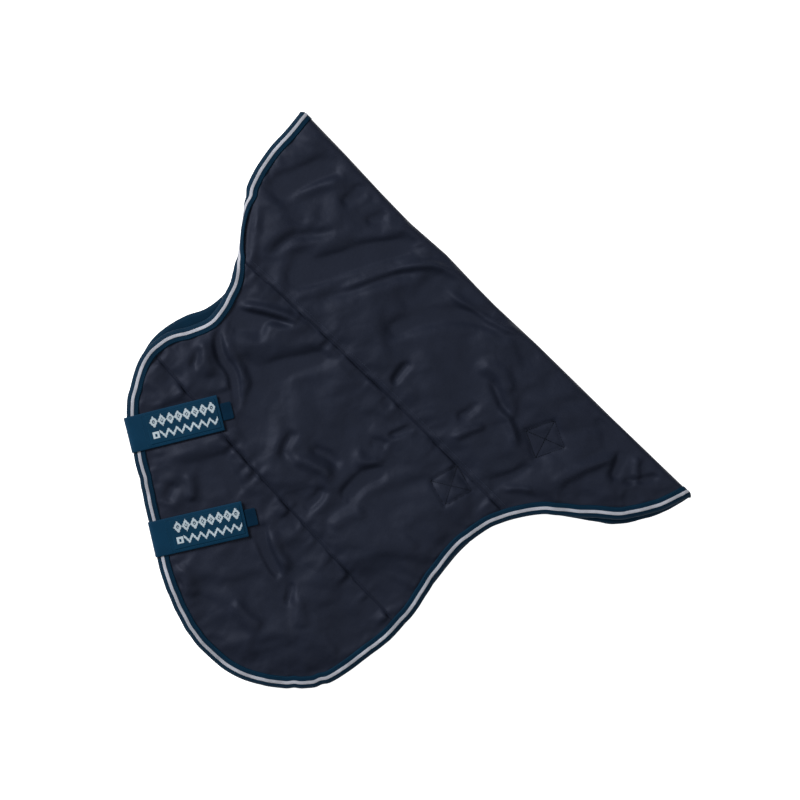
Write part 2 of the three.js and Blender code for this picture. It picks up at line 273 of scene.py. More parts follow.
class Outline:
    """The closed outline of the unfolded cloth: the near edge from the poll tip, then the far edge back."""

    def __init__(self):
        near, far = edge_line("near"), edge_line("far") * (1, -1)
        loop = resampled(np.vstack([near, far[::-1][1:-1]]), EDGE_SPACING, closed=True)
        loop = smoothed_loop(loop, 1.4)
        self.station = np.arange(len(loop)) * EDGE_SPACING
        self.inward = self.normals(loop, 1.5)
        wave = 1.0 * line_noise(self.station, 42, 11) + 0.7 * line_noise(self.station, 17, 12)
        at = np.column_stack([loop[:, 0], height_of(loop[:, 1])])
        for x, y, depth, reach in EDGE_KINKS:
            away = np.where(loop[:, 1] > 0, np.linalg.norm(at - (x, y), axis=1) / reach, 9)
            wave += depth * (1 - 1.1 * away**2) * np.exp(-(away**2))
        self.points = loop + self.inward * smoothed_loop(wave, 1.2)[:, None]
        self.square = self.normals(self.points, 4.5)
        self.near = self.points[:, 1] > 0

    @staticmethod
    def normals(loop, sigma):
        along = unit(smoothed_loop(np.roll(loop, -1, 0) - np.roll(loop, 1, 0), sigma))
        return np.column_stack([along[:, 1], -along[:, 0]])

    def inset(self, distance):
        return self.points + self.square * np.asarray(distance).reshape(-1, 1)

    def measure(self, points):
        """How far inside the outline each point lies, and the index of the outline's nearest point."""
        distance, index = np.empty(len(points)), np.empty(len(points), int)
        loop = self.points.astype(np.float32)
        for k in range(0, len(points), 4000):
            part = points[k : k + 4000].astype(np.float32)
            square = (part[:, None, 0] - loop[None, :, 0]) ** 2 + (part[:, None, 1] - loop[None, :, 1]) ** 2
            nearest = square.argmin(1)
            inside = ((points[k : k + 4000] - self.points[nearest]) * self.inward[nearest]).sum(1)
            distance[k : k + 4000] = np.sqrt(square.min(1)) * np.sign(inside)
            index[k : k + 4000] = nearest
        return distance, index


OUTLINE = Outline()


def seam_a(x):
    """Height y of the straight seam below the crest panel."""
    return SEAM_A_Y + np.interp(x, *np.transpose(SEAM_A_BOW))


def seam_b(x):
    """Height y of the curved seam above the chest panel."""
    share = (x - HOOD_MIDDLE) / (HOOD_LENGTH / 2)
    bend = (CHEST_PANEL_FRONT + CHEST_PANEL_BACK) / 2 - CHEST_PANEL_MIDDLE
    slope = (CHEST_PANEL_BACK - CHEST_PANEL_FRONT) / 2
    return LOBE_Y + CHEST_PANEL_MIDDLE + slope * share + bend * share**2


def seam_depth(seam, x):
    """How far a seam lies from the crest along the cloth."""
    return ARC + FOLD_Y - seam(x)


# ======================= Straps =======================
class Strap:
    """Where a strap lies: x runs inward along it from its hinge line, y across it."""

    def __init__(self, name):
        self.name = name
        joint = next(j for j in frame["joints"] if j["name"] == name + "_strap_hinge")
        self.hinge = np.array(joint["pos_m"]) / MM
        axis = np.array(joint["axis"][:2])
        axis /= np.linalg.norm(axis)
        self.inward = np.array([-axis[1], axis[0]])
        self.across = -axis
        self.spans = {key: self.span(f"{name}_{key}") for key in
                      ("strap_base", "strap_flap", "hook_tape", "woven_label", "pull_tab", "loop_patch")}

    def span(self, node):
        """Lowest and highest (x, y, z) of a CAD node along the strap."""
        mesh = frame["nodes"][node].data
        points = np.array([v.co for v in mesh.vertices]) / MM
        local = np.column_stack([*self.to_local(points[:, :2]).T, points[:, 2]])
        return local.min(0), local.max(0)

    def to_local(self, points):
        away = np.asarray(points) - self.hinge[:2]
        return np.column_stack([away @ self.inward, away @ self.across])

    def to_frame(self, along, across, height):
        flat = self.hinge[:2] + np.outer(along, self.inward) + np.outer(across, self.across)
        return np.column_stack([flat, np.broadcast_to(height, len(flat))])

    def middle_line(self, along, height):
        """Points along the strap's middle at those heights."""
        return np.column_stack([self.to_frame(along, np.zeros(len(along)), 0)[:, :2], height])


STRAPS = [Strap("upper"), Strap("lower")]


class Tab:
    """Where a rug tab lies: its stitched end, the way it points, its width and its heights."""

    SEWN = 25  # stitched square's centre to the sewn end

    def __init__(self, half, name):
        self.name = f"{half}_{name}_rug_tab"
        mesh = frame["nodes"][self.name].data
        points = np.array([v.co for v in mesh.vertices]) / MM
        flat = points[:, :2] - points[:, :2].mean(0)
        spans = []
        for degrees in np.arange(-90, 90, 0.25):
            spans.append((np.ptp(flat @ self.heading_at(degrees)[1]), degrees))
        self.width, degrees = min(spans)
        self.heading, self.side = self.heading_at(degrees)
        along = points[:, :2] @ self.heading
        middle = ((points[:, :2] @ self.side).min() + (points[:, :2] @ self.side).max()) / 2
        self.length = np.ptp(along)
        self.start = self.heading * along.min() + self.side * middle
        self.square = self.start + self.heading * self.SEWN
        self.low, self.high = points[:, 2].min(), points[:, 2].max()

    @staticmethod
    def heading_at(degrees):
        """The direction at an angle, and the one to its left."""
        heading = np.array([math.cos(math.radians(degrees)), math.sin(math.radians(degrees))])
        return heading, np.array([-heading[1], heading[0]])

    def to_local(self, points):
        away = np.asarray(points) - self.start
        return np.column_stack([away @ self.heading, away @ self.side])

    def square_points(self, row):
        """Points (x, y) of a row given from the stitched square's centre."""
        row = np.array(row)
        return self.square + row[:, :1] * self.heading + row[:, 1:] * self.side


TABS = [Tab(half, name) for half in ("near", "far") for name in ("upper", "lower")]
SQUARE_LENGTH = 45
SQUARE_WIDTH = 48


# ======================= Heights of the shell =======================
# Folds of the near half: height of the middle (valleys below 0), half width, and the points it runs through.
FOLDS = [
    (-3.2, 12, [(-322, 345), (-345, 300), (-358, 255), (-378, 215)]),
    (-1.6, 7, [(-247, 285), (-268, 240), (-298, 200), (-306, 145)]),
    (-4.2, 12, [(-140, 350), (-178, 295), (-208, 240), (-236, 185), (-268, 136)]),
    (2.2, 5, [(-60, 345), (-112, 328), (-140, 292), (-163, 250), (-182, 210), (-207, 170)]),
    (-2.0, 8, [(-118, 318), (-150, 270), (-172, 225), (-192, 185), (-200, 150)]),
    (-2.8, 11, [(20, 340), (-30, 300), (-64, 255), (-84, 215), (-97, 180)]),
    (1.4, 5, [(-75, 312), (-30, 320), (20, 333), (70, 350)]),
    (-1.8, 5, [(-33, 195), (-32, 170), (-28, 145)]),
    (-1.2, 5, [(88, 222), (86, 200), (78, 178)]),
    (1.6, 9, [(40, 262), (80, 276), (118, 268)]),
    (-1.6, 5, [(72, 264), (100, 252), (140, 236)]),
    (1.3, 5, [(112, 240), (145, 232), (182, 212)]),
    (1.4, 5, [(98, 150), (106, 180), (122, 206)]),
    (1.7, 6, [(256, 205), (268, 250), (286, 290), (300, 322)]),
    (-2.2, 6, [(300, 330), (312, 300), (318, 278)]),
    (-1.9, 4, [(368, 342), (352, 316), (330, 290)]),
    (1.4, 5, [(318, 340), (336, 318), (356, 300)]),
    (1.6, 4, [(208, 152), (226, 172), (248, 186)]),
    (-1.6, 6, [(186, 142), (205, 178), (214, 215)]),
    (-1.4, 7, [(-272, 340), (-276, 312), (-284, 290)]),
    (-1.3, 6, [(-218, 338), (-226, 318), (-236, 300)]),
    (1.5, 7, [(-350, 236), (-330, 280), (-300, 330)]),
    (2.6, 5, [(-286, 64), (-262, 84), (-232, 102), (-196, 116)]),
    (-2.4, 5, [(-286, 52), (-258, 68), (-226, 92), (-192, 112)]),
    (-3.0, 14, [(-280, 40), (-252, 56), (-220, 74)]),
    (-2.8, 11, [(-128, 122), (-146, 84), (-168, 45), (-180, 5)]),
    (-2.0, 8, [(-176, 10), (-162, -22), (-152, -44)]),
    (-6.0, 4.5, [(-284, 22), (-262, 2), (-244, -8), (-216, -14), (-190, -34), (-166, -52)]),
    (1.8, 7, [(-268, 20), (-240, 8), (-206, -2), (-178, -20)]),
    (1.8, 8, [(-290, -8), (-262, -26), (-232, -42)]),
    (-1.4, 5, [(-282, -20), (-272, -38), (-266, -56)]),
    (-2.0, 4, [(42, 126), (34, 106), (24, 84)]),
    (-1.3, 5, [(10, 58), (22, 70), (36, 74)]),
    (-3.4, 9, [(62, 46), (46, 20), (42, -6), (48, -36)]),
    (1.3, 7, [(0, 44), (22, 30), (52, 54)]),
    (1.7, 7, [(-62, -46), (-38, -32), (-6, -22), (8, -36)]),
    (-1.7, 6, [(-52, -14), (-22, -2), (8, 2)]),
    (-1.8, 6, [(-84, -6), (-80, -34), (-66, -58)]),
    (-2.2, 6, [(8, -36), (14, -60), (10, -88)]),
    (1.4, 8, [(60, -82), (64, -46), (86, -18)]),
    (1.2, 9, [(120, -60), (150, -30), (180, 0)]),
    (-4.6, 5.0, [(-24, -146), (-4, -164), (26, -178), (62, -188)]),
    (1.9, 7, [(-10, -142), (26, -160), (66, -168)]),
    (-1.8, 4, [(76, -180), (88, -196), (98, -212)]),
    (1.3, 8, [(100, -180), (118, -206), (140, -222)]),
    (-1.8, 7, [(-150, -120), (-110, -128), (-70, -140)]),
    (-1.6, 7, [(-160, -196), (-154, -214), (-146, -228)]),
    (1.7, 9, [(-70, -282), (-40, -290), (-14, -306)]),
    (-1.5, 6, [(-46, -296), (-44, -312), (-30, -322)]),
    (1.6, 8, [(30, -262), (60, -268), (96, -262)]),
    (1.5, 7, [(-160, -172), (-140, -182), (-118, -200)]),
]
FOLD_GAIN = 2.1
FOLD_SPREAD = 1.45
CROWN_HEIGHT = 6.0
CROWN_REACH = 32
ROLL_MIDDLE = np.array([-352.0, 160.0])  # where the binding rolls under
ROLL_REACH = 50
ROLL_GROOVE = -3.0
ROLL_SHIFT = 14  # how far the tape turns under there


def roll_at(index):
    """How far the binding is rolled over the edge at the outline's points, from 0 to 1."""
    at = np.column_stack([OUTLINE.points[:, 0], height_of(OUTLINE.points[:, 1])])
    away = np.linalg.norm(at - ROLL_MIDDLE, axis=1)
    roll = np.where(OUTLINE.near, 1 - smoothstep((away - ROLL_REACH * 0.55) / (ROLL_REACH * 0.6)), 0)
    return smoothed_loop(roll, 5)[index]


def fold_heights(points):
    """Heights that the folds add at near points (x, y)."""
    total = np.zeros(len(points))
    for height, width, path in FOLDS:
        width = width * FOLD_SPREAD
        line = resampled(catmull_rom(path, 8), 3)
        near = np.where((np.abs(points - line.mean(0)).max(1) < np.ptp(line, axis=0).max() + 4 * width))[0]
        if not len(near):
            continue
        away = points[near, None, :] - line[None]
        square = (away**2).sum(2)
        index = square.argmin(1)
        share = index / (len(line) - 1)
        distance = np.sqrt(square[np.arange(len(near)), index]) / width
        taper = smoothstep(share / 0.25) * smoothstep((1 - share) / 0.25)
        end = (share < 0.001) | (share > 0.999)
        profile = (1 - 0.45 * distance**2) * np.exp(-0.75 * distance**2)
        total[near] += np.where(end, 0, height * taper * profile)
    return total


def flange_height(distance):
    """Height of the binding's outer face over the shell's at an inset from the free edge."""
    return 1.3 - 5.6 * np.clip(1 - distance / 11, 0, 1) ** 2.4


def crown_and_folds(at, t, distance):
    """The padding's crown between the edge and the crest, and the listed folds."""
    inside = np.clip(distance - BINDING_WIDTH + 3, 0, None)
    crown = CROWN_HEIGHT * (1 - np.exp(-inside / CROWN_REACH))
    crown *= 0.45 + 0.55 * smoothstep(t / (ARC + 60))
    return crown, FOLD_GAIN * fold_heights(at) * smoothstep((distance - BINDING_WIDTH + 5) / 14)


# --- Cloth simulation of the near shell ---
SIM_CELL = 5.2
SIM_SPARE = 0.022  # how much wider than its seams the shell was cut
SIM_FRAMES = 28
SIM_PRESSURE = 0.22
SIM_BENDING = 0.5
SIM_STIFFNESS = 9.0


def simulate_shell():
    """The near shell, a little too wide for its seams, settled into puckers: its lifts on a grid."""
    x = np.arange(OUTLINE.points[:, 0].min() - 10, OUTLINE.points[:, 0].max() + 10, SIM_CELL)
    t = np.arange(0, OUTLINE.points[:, 1].max() + 12, SIM_CELL)
    grid_x, grid_t = np.meshgrid(x, t, indexing="ij")
    points = np.column_stack([grid_x.ravel(), grid_t.ravel()])
    at = np.column_stack([points[:, 0], height_of(points[:, 1])])
    distance, _ = OUTLINE.measure(points)
    crown, folds = crown_and_folds(at, points[:, 1], distance)
    crown = np.where(distance > 0, crown, 0)
    start = crown * 0.6 + np.where(distance > 0, folds, 0)
    start += 0.9 * value_noise(turned(at, 60, 2.4), 15, 81) + 0.4 * value_noise(turned(at, 15, 1.8), 12, 82)
    held = np.zeros(len(points), bool)
    held |= distance < BINDING_WIDTH
    held |= points[:, 1] < ARC
    for seam in (seam_a, seam_b):
        held |= np.abs(at[:, 1] - seam(at[:, 0])) < SIM_CELL * 0.5
    for strap in STRAPS:
        local = strap.to_local(at)
        half = strap.spans["strap_flap"][1][1]
        end = strap.spans["pull_tab"][1][0]
        held |= (np.abs(local[:, 1]) < half - 4) & (local[:, 0] > -10) & (local[:, 0] < end - 4)
    start = np.where(held, 0, start)
    faces = []
    rows, columns = len(x), len(t)
    for i in range(rows - 1):
        for j in range(columns - 1):
            a = i * columns + j
            corners = (a, a + 1, a + columns + 1, a + columns)
            if distance[list(corners)].max() > 0:
                faces.append(corners)
    cloth = mesh_object("simulated", np.column_stack([at, start]), faces, [])
    group = cloth.vertex_groups.new(name="held")
    group.add([int(i) for i in np.flatnonzero(held)], 1.0, "REPLACE")
    modifier = cloth.modifiers.new("cloth", "CLOTH")
    settings = modifier.settings
    settings.quality = 6
    settings.mass = 0.15
    settings.vertex_group_mass = "held"
    settings.tension_stiffness = SIM_STIFFNESS
    settings.compression_stiffness = SIM_STIFFNESS
    settings.shear_stiffness = SIM_STIFFNESS / 3
    settings.bending_stiffness = SIM_BENDING
    settings.shrink_min = -SIM_SPARE
    settings.shrink_max = -SIM_SPARE
    settings.use_pressure = True
    settings.uniform_pressure_force = SIM_PRESSURE
    settings.effector_weights.gravity = 0
    modifier.collision_settings.use_collision = False
    modifier.point_cache.frame_end = SIM_FRAMES
    scene = bpy.context.scene
    for step in range(1, SIM_FRAMES + 1):
        scene.frame_set(step)
    shape = cloth.evaluated_get(bpy.context.evaluated_depsgraph_get()).to_mesh()
    settled = np.empty(len(shape.vertices) * 3)
    shape.vertices.foreach_get("co", settled)
    lifts = settled.reshape(-1, 3)[:, 2] / MM
    bpy.data.objects.remove(cloth)
    scene.frame_set(1)
    lifts = np.where(np.isfinite(lifts), lifts, 0)
    return x, t, lifts.reshape(rows, columns)


SIMULATED = {}


def simulated_lift(points):
    """The simulated lift at near points (x, t), or None when the stored grid is None."""
    if "grid" not in SIMULATED:
        SIMULATED["grid"] = simulate_shell()
    if SIMULATED["grid"] is None:
        return None
    x, t, lifts = SIMULATED["grid"]
    u = np.clip((points[:, 0] - x[0]) / SIM_CELL, 1, len(x) - 3.001)
    v = np.clip((points[:, 1] - t[0]) / SIM_CELL, 1, len(t) - 3.001)
    i, j = np.floor(u).astype(int), np.floor(v).astype(int)
    total = 0
    for di, weight_u in enumerate(spline_weights(u - i), -1):
        for dj, weight_v in enumerate(spline_weights(v - j), -1):
            total = total + lifts[i + di, j + dj] * weight_u * weight_v
    return total


def spline_weights(part):
    """Weights of four neighbours in a smooth spline."""
    return ((1 - part) ** 3 / 6, (3 * part**3 - 6 * part**2 + 4) / 6,
            (-3 * part**3 + 3 * part**2 + 3 * part + 1) / 6, part**3 / 6)


# Heights that the shell never passes, and the depth over which it eases into them.
LOWEST_NEAR = -2.2
HIGHEST_NEAR = 11.5
LOWEST_FAR = -2.6
LOW_EASE = 1.2
HIGH_EASE = 3.0

# Puckers along the near seams: how deep the seam is drawn in, how far beside it, and how high they rise.
SEAM_PUCKERS = ((seam_a, 0.05, 4, 2.6, 31), (seam_b, 1.2, 6, 3.4, 32))


def soft_limit(height, limit, ease, side):
    """Heights eased so that they never pass a limit: a highest one on side 1, a lowest one on side -1."""
    start = limit - side * ease
    past = np.clip(side * (height - start), 0, None)
    return np.where(past > 0, start + side * ease * (1 - np.exp(-past / ease)), height)


def near_heights(points, distance, index):
    """Heights of the near shell's outer face at (x, t)."""
    x, t = points[:, 0], points[:, 1]
    at = np.column_stack([x, height_of(t)])
    station = OUTLINE.station[index]
    inside = np.clip(distance - BINDING_WIDTH + 3, 0, None)
    crown, folds = crown_and_folds(at, t, distance)
    lift = simulated_lift(points)
    height = 0.2 + (crown + folds if lift is None else np.maximum(lift, 0.3 * lift) * 0.62 + folds)

    free = smoothstep((distance - BINDING_WIDTH) / 22) * smoothstep(t / (ARC + 8))
    height += free * 2.7 * value_noise(turned(at, 58, 2.2), 46, 21)
    height += free * 1.2 * value_noise(turned(at, 40, 1.6), 24, 22)
    crease = 1 - np.abs(value_noise(turned(at, 62, 2.4), 30, 23)) * 2.2
    height += free * 0.9 * np.clip(crease, 0, 1) ** 2 * value_noise(at, 70, 24)
    crease = 1 - np.abs(value_noise(turned(at, 20, 1.8), 19, 25)) * 2.4
    height += free * 0.55 * np.clip(crease, 0, 1) ** 2 * value_noise(at, 50, 26)
    height += free * 0.16 * value_noise(at, 9, 27)

    for seam, depth, reach, pucker, seed in SEAM_PUCKERS:
        gap = at[:, 1] - seam(x)
        wave = line_noise(x, 9, seed) + 0.8 * line_noise(x, 24, seed + 10)
        side = np.where(gap > 0, 0.7, 1.25)
        uneven = 0.65 + 0.55 * line_noise(x, 34, seed + 20)
        height -= (depth + 0.15 * crown) * uneven * np.exp(-np.abs(gap) / reach)
        height += pucker * side * wave * np.exp(-np.abs(gap) / 13) * (1 - np.exp(-np.abs(gap) / 3))

    wave = line_noise(station, 13, 33) + 0.8 * line_noise(station, 31, 34)
    height += 1.9 * wave * np.exp(-inside / 17) * smoothstep((distance - 16) / 8) * smoothstep(t / 60)

    roll = roll_at(index)
    height += roll * 4.0 * np.exp(-(((distance - 24) / 8) ** 2))
    height += stitched_squares(at, "near")

    for strap in STRAPS:
        local = strap.to_local(at)
        high = strap.spans["strap_flap"][1]
        end = strap.spans["pull_tab"][1][0]
        past = np.clip(np.abs(local[:, 1]) - high[1], 0, None)
        past = np.hypot(past, np.clip(local[:, 0] - end, 0, None))
        reach = 17 + 9 * value_noise(at, 26, 35)
        press = (1 - smoothstep(past / reach)) ** 1.3
        height = height * (1 - press) + np.minimum(height, -0.3) * press
    height = soft_limit(height, LOWEST_NEAR, LOW_EASE, -1)
    height = soft_limit(height, HIGHEST_NEAR, HIGH_EASE, 1)
    groove = roll * np.exp(-np.clip((distance - 9) / 6, 0, None) ** 2)
    height = height * (1 - groove) + ROLL_GROOVE * groove
    return np.where(distance < BINDING_WIDTH + 1, np.minimum(height, tuck(distance, roll)), height)


def tuck(distance, roll):
    """The highest that the shell may lie under the binding, which covers less of it where it is rolled."""
    covered = np.clip((BINDING_WIDTH + 1 - ROLL_SHIFT * roll - distance) / 1.5, 0, 1)
    return 2.5 * (1 - covered) + (flange_height(distance) - 1.6) * covered


def far_heights(points, distance):
    """Heights of the far shell's outer face, which the ground presses flat."""
    x, t = points[:, 0], -points[:, 1]
    at = np.column_stack([x, height_of(t)])
    flat = smoothstep(t / (ARC + 10))
    height = 0.9 * flat - 0.5 * flat * (1 + value_noise(turned(at, 50, 2), 30, 41)) * 0.6
    height -= flat * 0.5 * np.clip(value_noise(turned(at, 30, 2), 16, 42), 0, 1)
    for seam, seed in ((seam_a, 43), (seam_b, 44)):
        gap = at[:, 1] - seam(x)
        wave = 1 + 0.4 * line_noise(x, 12, seed)
        height -= flat * 1.3 * wave * np.exp(-np.abs(gap) / 7)
    height += stitched_squares(at, "far")
    height = soft_limit(height, LOWEST_FAR, LOW_EASE, -1)
    under = flange_height(distance) - 1.6
    return np.where(distance < BINDING_WIDTH + 1, np.minimum(height, under), height)


STITCH_REACH = 3.4  # how far beside a stitched line the shell is drawn in
FAR_AWAY = 99


def stitched_squares(at, half):
    """The shell is drawn in along the box-X stitching."""
    total = np.zeros(len(at))
    for tab in TABS:
        if not tab.name.startswith(half):
            continue
        local = tab.to_local(at) - (tab.SEWN, 0)
        u, v = np.abs(local[:, 0]) / (SQUARE_LENGTH / 2), np.abs(local[:, 1]) / (SQUARE_WIDTH / 2)
        out = np.maximum(u, v)
        edge = np.abs(out - 1) * SQUARE_LENGTH / 2
        cross = np.where(out < 1, np.abs(u - v) * SQUARE_LENGTH / 3, FAR_AWAY)
        total -= 3.0 * np.exp(-edge / STITCH_REACH) + 2.2 * np.exp(-cross / STITCH_REACH)
        total -= np.where(out < 1.05, 0.6, 0)
    return total


def shell_heights(points):
    """Heights h of the shell's outer face at any points (x, t)."""
    distance, index = OUTLINE.measure(points)
    near = near_heights(points, distance, index)
    far = far_heights(points, distance)
    share = smoothstep((points[:, 1] / ARC + 1) / 2)
    return near * share + far * (1 - share)


# ======================= Meshes =======================
def mesh_object(name, points, faces, material, uv=None):
    """A smooth-shaded object from points in millimetres."""
    mesh = bpy.data.meshes.new(name)
    mesh.from_pydata((np.asarray(points) * MM).tolist(), [], [list(map(int, f)) for f in faces])
    mesh.polygons.foreach_set("use_smooth", [True] * len(mesh.polygons))
    if uv is not None:
        loops = np.empty(len(mesh.loops), int)
        mesh.loops.foreach_get("vertex_index", loops)
        layer = mesh.uv_layers.new(name="cloth")
        layer.data.foreach_set("uv", (np.asarray(uv)[loops] * MM).astype(np.float32).ravel())
    mesh.update()
    piece = bpy.data.objects.new(name, mesh)
    bpy.context.scene.collection.objects.link(piece)
    for one in material if isinstance(material, list) else [material]:
        mesh.materials.append(one)
    return piece


def solidify(piece, thickness):
    modifier = piece.modifiers.new("thickness", "SOLIDIFY")
    modifier.thickness = thickness * MM
    modifier.offset = -1
    return piece


def hex_points(low, high, spacing):
    """Points of a triangular grid over a rectangle."""
    rows = []
    for i, t in enumerate(np.arange(low[1], high[1], spacing * math.sqrt(3) / 2)):
        x = np.arange(low[0] + (i % 2) * spacing / 2, high[0], spacing)
        rows.append(np.column_stack([x, np.full(len(x), t)]))
    return np.vstack(rows)


def unfolded_mesh(inset, near_spacing, far_spacing, seams):
    """Points and triangles over the unfolded cloth inside its outline, with edges along the seams."""
    low, high = OUTLINE.points.min(0), OUTLINE.points.max(0)
    near = hex_points((low[0], -ARC - near_spacing), high, near_spacing)
    far = hex_points(low, (high[0], -ARC - near_spacing), far_spacing)
    grid = np.vstack([near, far])
    distance, _ = OUTLINE.measure(grid)
    spacing = np.where(grid[:, 1] > -ARC - near_spacing, near_spacing, far_spacing)
    keep = distance > inset + 0.55 * spacing
    lines = [resampled(OUTLINE.inset(inset), near_spacing * 0.8, closed=True)]
    for seam in seams:
        x = np.arange(low[0] - 5, high[0] + 5, near_spacing)
        for side in (1, -1):
            lines.append(np.column_stack([x, side * seam_depth(seam, x)]))
            gap = np.abs(grid[:, 1] - side * seam_depth(seam, grid[:, 0]))
            keep &= gap > 0.45 * spacing
    grid = grid[keep]
    points, edges = [grid], []
    first = len(grid)
    for k, line in enumerate(lines):
        count = len(line)
        links = [(first + i, first + i + 1) for i in range(count - 1)]
        edges += links + ([(first + count - 1, first)] if k == 0 else [])
        points.append(line)
        first += count
    made = geometry.delaunay_2d_cdt([Vector(p) for p in np.vstack(points)], edges, [], 0, 1e-4)
    verts, faces = np.array(made[0]), np.array(made[2])
    middle = verts[faces].mean(1)
    distance, _ = OUTLINE.measure(middle)
    flat = verts[faces]
    size = np.cross(flat[:, 1] - flat[:, 0], flat[:, 2] - flat[:, 0])
    return verts, faces[(distance > inset) & (np.abs(size) > 1e-3)]


def facing_out(points, faces):
    """Triangles turned so that in (x, t) they face the shell's outer side."""
    flat = points[faces]
    turn = np.cross(flat[:, 1] - flat[:, 0], flat[:, 2] - flat[:, 0]) > 0
    faces = faces.copy()
    faces[turn] = faces[turn][:, ::-1]
    return faces


def compact(points, faces):
    used, where = np.unique(faces, return_inverse=True)
    return points[used], where.reshape(faces.shape)


SHELL_THICKNESS = 0.6
LINING_THICKNESS = 0.4
LINING_HEIGHT = -7.0
LINING_SPACING = 7.5
LAP = 1.4  # how far an upper panel laps over the next one at a seam
SEAM_STEP = {seam_a: 0.08, seam_b: 0.5}  # how much the upper panel stands over the next one


def make_shell():
    """Five sheets: one over the crest, and a neck and a chest panel in each half."""
    points, faces = unfolded_mesh(SHELL_INSET, NEAR_SPACING, FAR_SPACING, (seam_a, seam_b))
    height = shell_heights(points)
    middle = points[faces].mean(1)
    line_a, line_b = (seam_depth(seam, middle[:, 0]) for seam in (seam_a, seam_b))
    depth = np.abs(middle[:, 1])
    is_near = middle[:, 1] > 0
    panels = {
        "shell_crest_panel": depth < line_a,
        "near_shell_neck_panel": is_near & (depth >= line_a) & (depth < line_b),
        "near_shell_chest_panel": is_near & (depth >= line_b),
        "far_shell_neck_panel": ~is_near & (depth >= line_a) & (depth < line_b),
        "far_shell_chest_panel": ~is_near & (depth >= line_b),
    }
    made = {}
    for name, chosen in panels.items():
        used, triangles = compact(np.column_stack([points, height]), faces[chosen])
        flat, lift = used[:, :2].copy(), used[:, 2].copy()
        own = seam_a if name == "shell_crest_panel" else seam_b
        over = np.abs(np.abs(flat[:, 1]) - seam_depth(own, flat[:, 0]))
        if "chest" not in name:
            edge = over < 0.05
            flat[edge, 1] += LAP * np.sign(flat[edge, 1])
            lift += SEAM_STEP[own] * np.exp(-over / 3)
        if name != "shell_crest_panel":
            upper = seam_b if "chest" in name else seam_a
            gap = np.abs(np.abs(used[:, 1]) - seam_depth(upper, used[:, 0]))
            lift -= SEAM_STEP[upper] * np.exp(-gap / 2.5)
        triangles = facing_out(flat, triangles)
        piece = mesh_object(name, fold_map(flat, lift), triangles, shell_cloth(), uv=flat)
        solidify(piece, SHELL_THICKNESS)
        made[name] = (piece, flat, triangles)
    return made


def make_lining():
    """One sheet inside both halves, folded sharply at the crest."""
    points, faces = unfolded_mesh(SHELL_INSET, LINING_SPACING, LINING_SPACING, ())
    at = np.column_stack([points[:, 0], height_of(points[:, 1])])
    ripple = 0.34 * value_noise(turned(at, 50, 2.5), 26, 51) + 0.2 * value_noise(turned(at, 120, 2), 13, 52)
    height = LINING_HEIGHT + np.where(np.abs(points[:, 1]) < ARC + 12, 0, ripple)
    triangles = facing_out(points, faces)
    piece = mesh_object("lining_sheet", fold_map(points, height), triangles, lining_cloth(), uv=points)
    solidify(piece, LINING_THICKNESS)
    return piece, points, triangles


def make_batting(half):
    """The polyester pad between the shell and the lining of a half."""
    side = 1 if half == "near" else -1
    grid = hex_points(*np.sort(np.array([OUTLINE.points.min(0), OUTLINE.points.max(0)]), axis=0), 9)
    distance, _ = OUTLINE.measure(grid)
    inside = grid[(distance > 13) & (side * grid[:, 1] > ARC + 8)]
    rim = resampled(OUTLINE.inset(9), 8, closed=True)
    rim = rim[side * rim[:, 1] > ARC + 2]
    turn = np.argmax(np.linalg.norm(np.diff(rim, axis=0, append=rim[:1]), axis=1)) + 1
    rim = np.roll(rim, -turn, 0)
    crest = resampled(np.array([rim[-1], rim[0]]), 8)[1:-1]
    rim = np.vstack([rim, crest])
    count = len(inside)
    links = [(count + i, count + (i + 1) % len(rim)) for i in range(len(rim))]
    made = geometry.delaunay_2d_cdt([Vector(p) for p in np.vstack([inside, rim])], links, [], 1, 1e-4)
    points, faces = np.array(made[0]), np.array(made[2])
    distance, _ = OUTLINE.measure(points)
    edge = smoothstep((distance - 9) / 8) * smoothstep((side * points[:, 1] - ARC - 2) / 6)
    around = [shell_heights(points + (dx, dt)) for dx in (-5, 0, 5) for dt in (-5, 0, 5)]
    lowest = np.min(around, axis=0)
    top = np.minimum(lowest - 1.6, 9)
    top = np.minimum(-3.0 * (1 - edge) + top * edge, lowest - 1.2)
    bottom = -3.2 * (1 - edge) - 6.3 * edge
    bottom = np.minimum(bottom, top - 0.3)
    faces = facing_out(points, faces)
    upper, lower = fold_map(points, top), fold_map(points, bottom)
    sides = np.vstack([faces[:, [0, 1]], faces[:, [1, 2]], faces[:, [2, 0]]])
    pairs, counts = np.unique(np.sort(sides, axis=1), axis=0, return_counts=True)
    open_edges = {tuple(p) for p in pairs[counts == 1]}
    total = len(points)
    skin = [*faces, *(faces[:, ::-1] + total)]
    for face in faces:
        for a, b in ((face[0], face[1]), (face[1], face[2]), (face[2], face[0])):
            if (min(a, b), max(a, b)) in open_edges:
                skin += [(b, a, a + total), (b, a + total, b + total)]
    piece = mesh_object(half + "_batting", np.vstack([upper, lower]), skin, batting(),
                        uv=np.vstack([points, points]))
    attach(piece, half + "_half")
    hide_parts(half + "_fill")
    return piece


# ======================= Binding and stripe =======================
TAPE = 0.9
TAPE_BOTTOM = -8.8
STRIPE_RISE = 0.35


def tape_section():
    """The binding's outer face across the free edge, as (inset, height), from its upper inner edge down."""
    top = np.arange(BINDING_WIDTH, 0, -0.4)
    bottom = np.arange(0, BINDING_WIDTH + ROLL_SHIFT + 6, 0.4)
    under = TAPE_BOTTOM + 3.9 * np.clip(1 - bottom / 8, 0, 1) ** 2.4
    return np.vstack([np.column_stack([top, flange_height(top)]), np.column_stack([bottom, under])])


SECTION = tape_section()
SECTION_RUN = run_along(SECTION)
SECTION_LENGTH = 2 * BINDING_WIDTH + 5.0


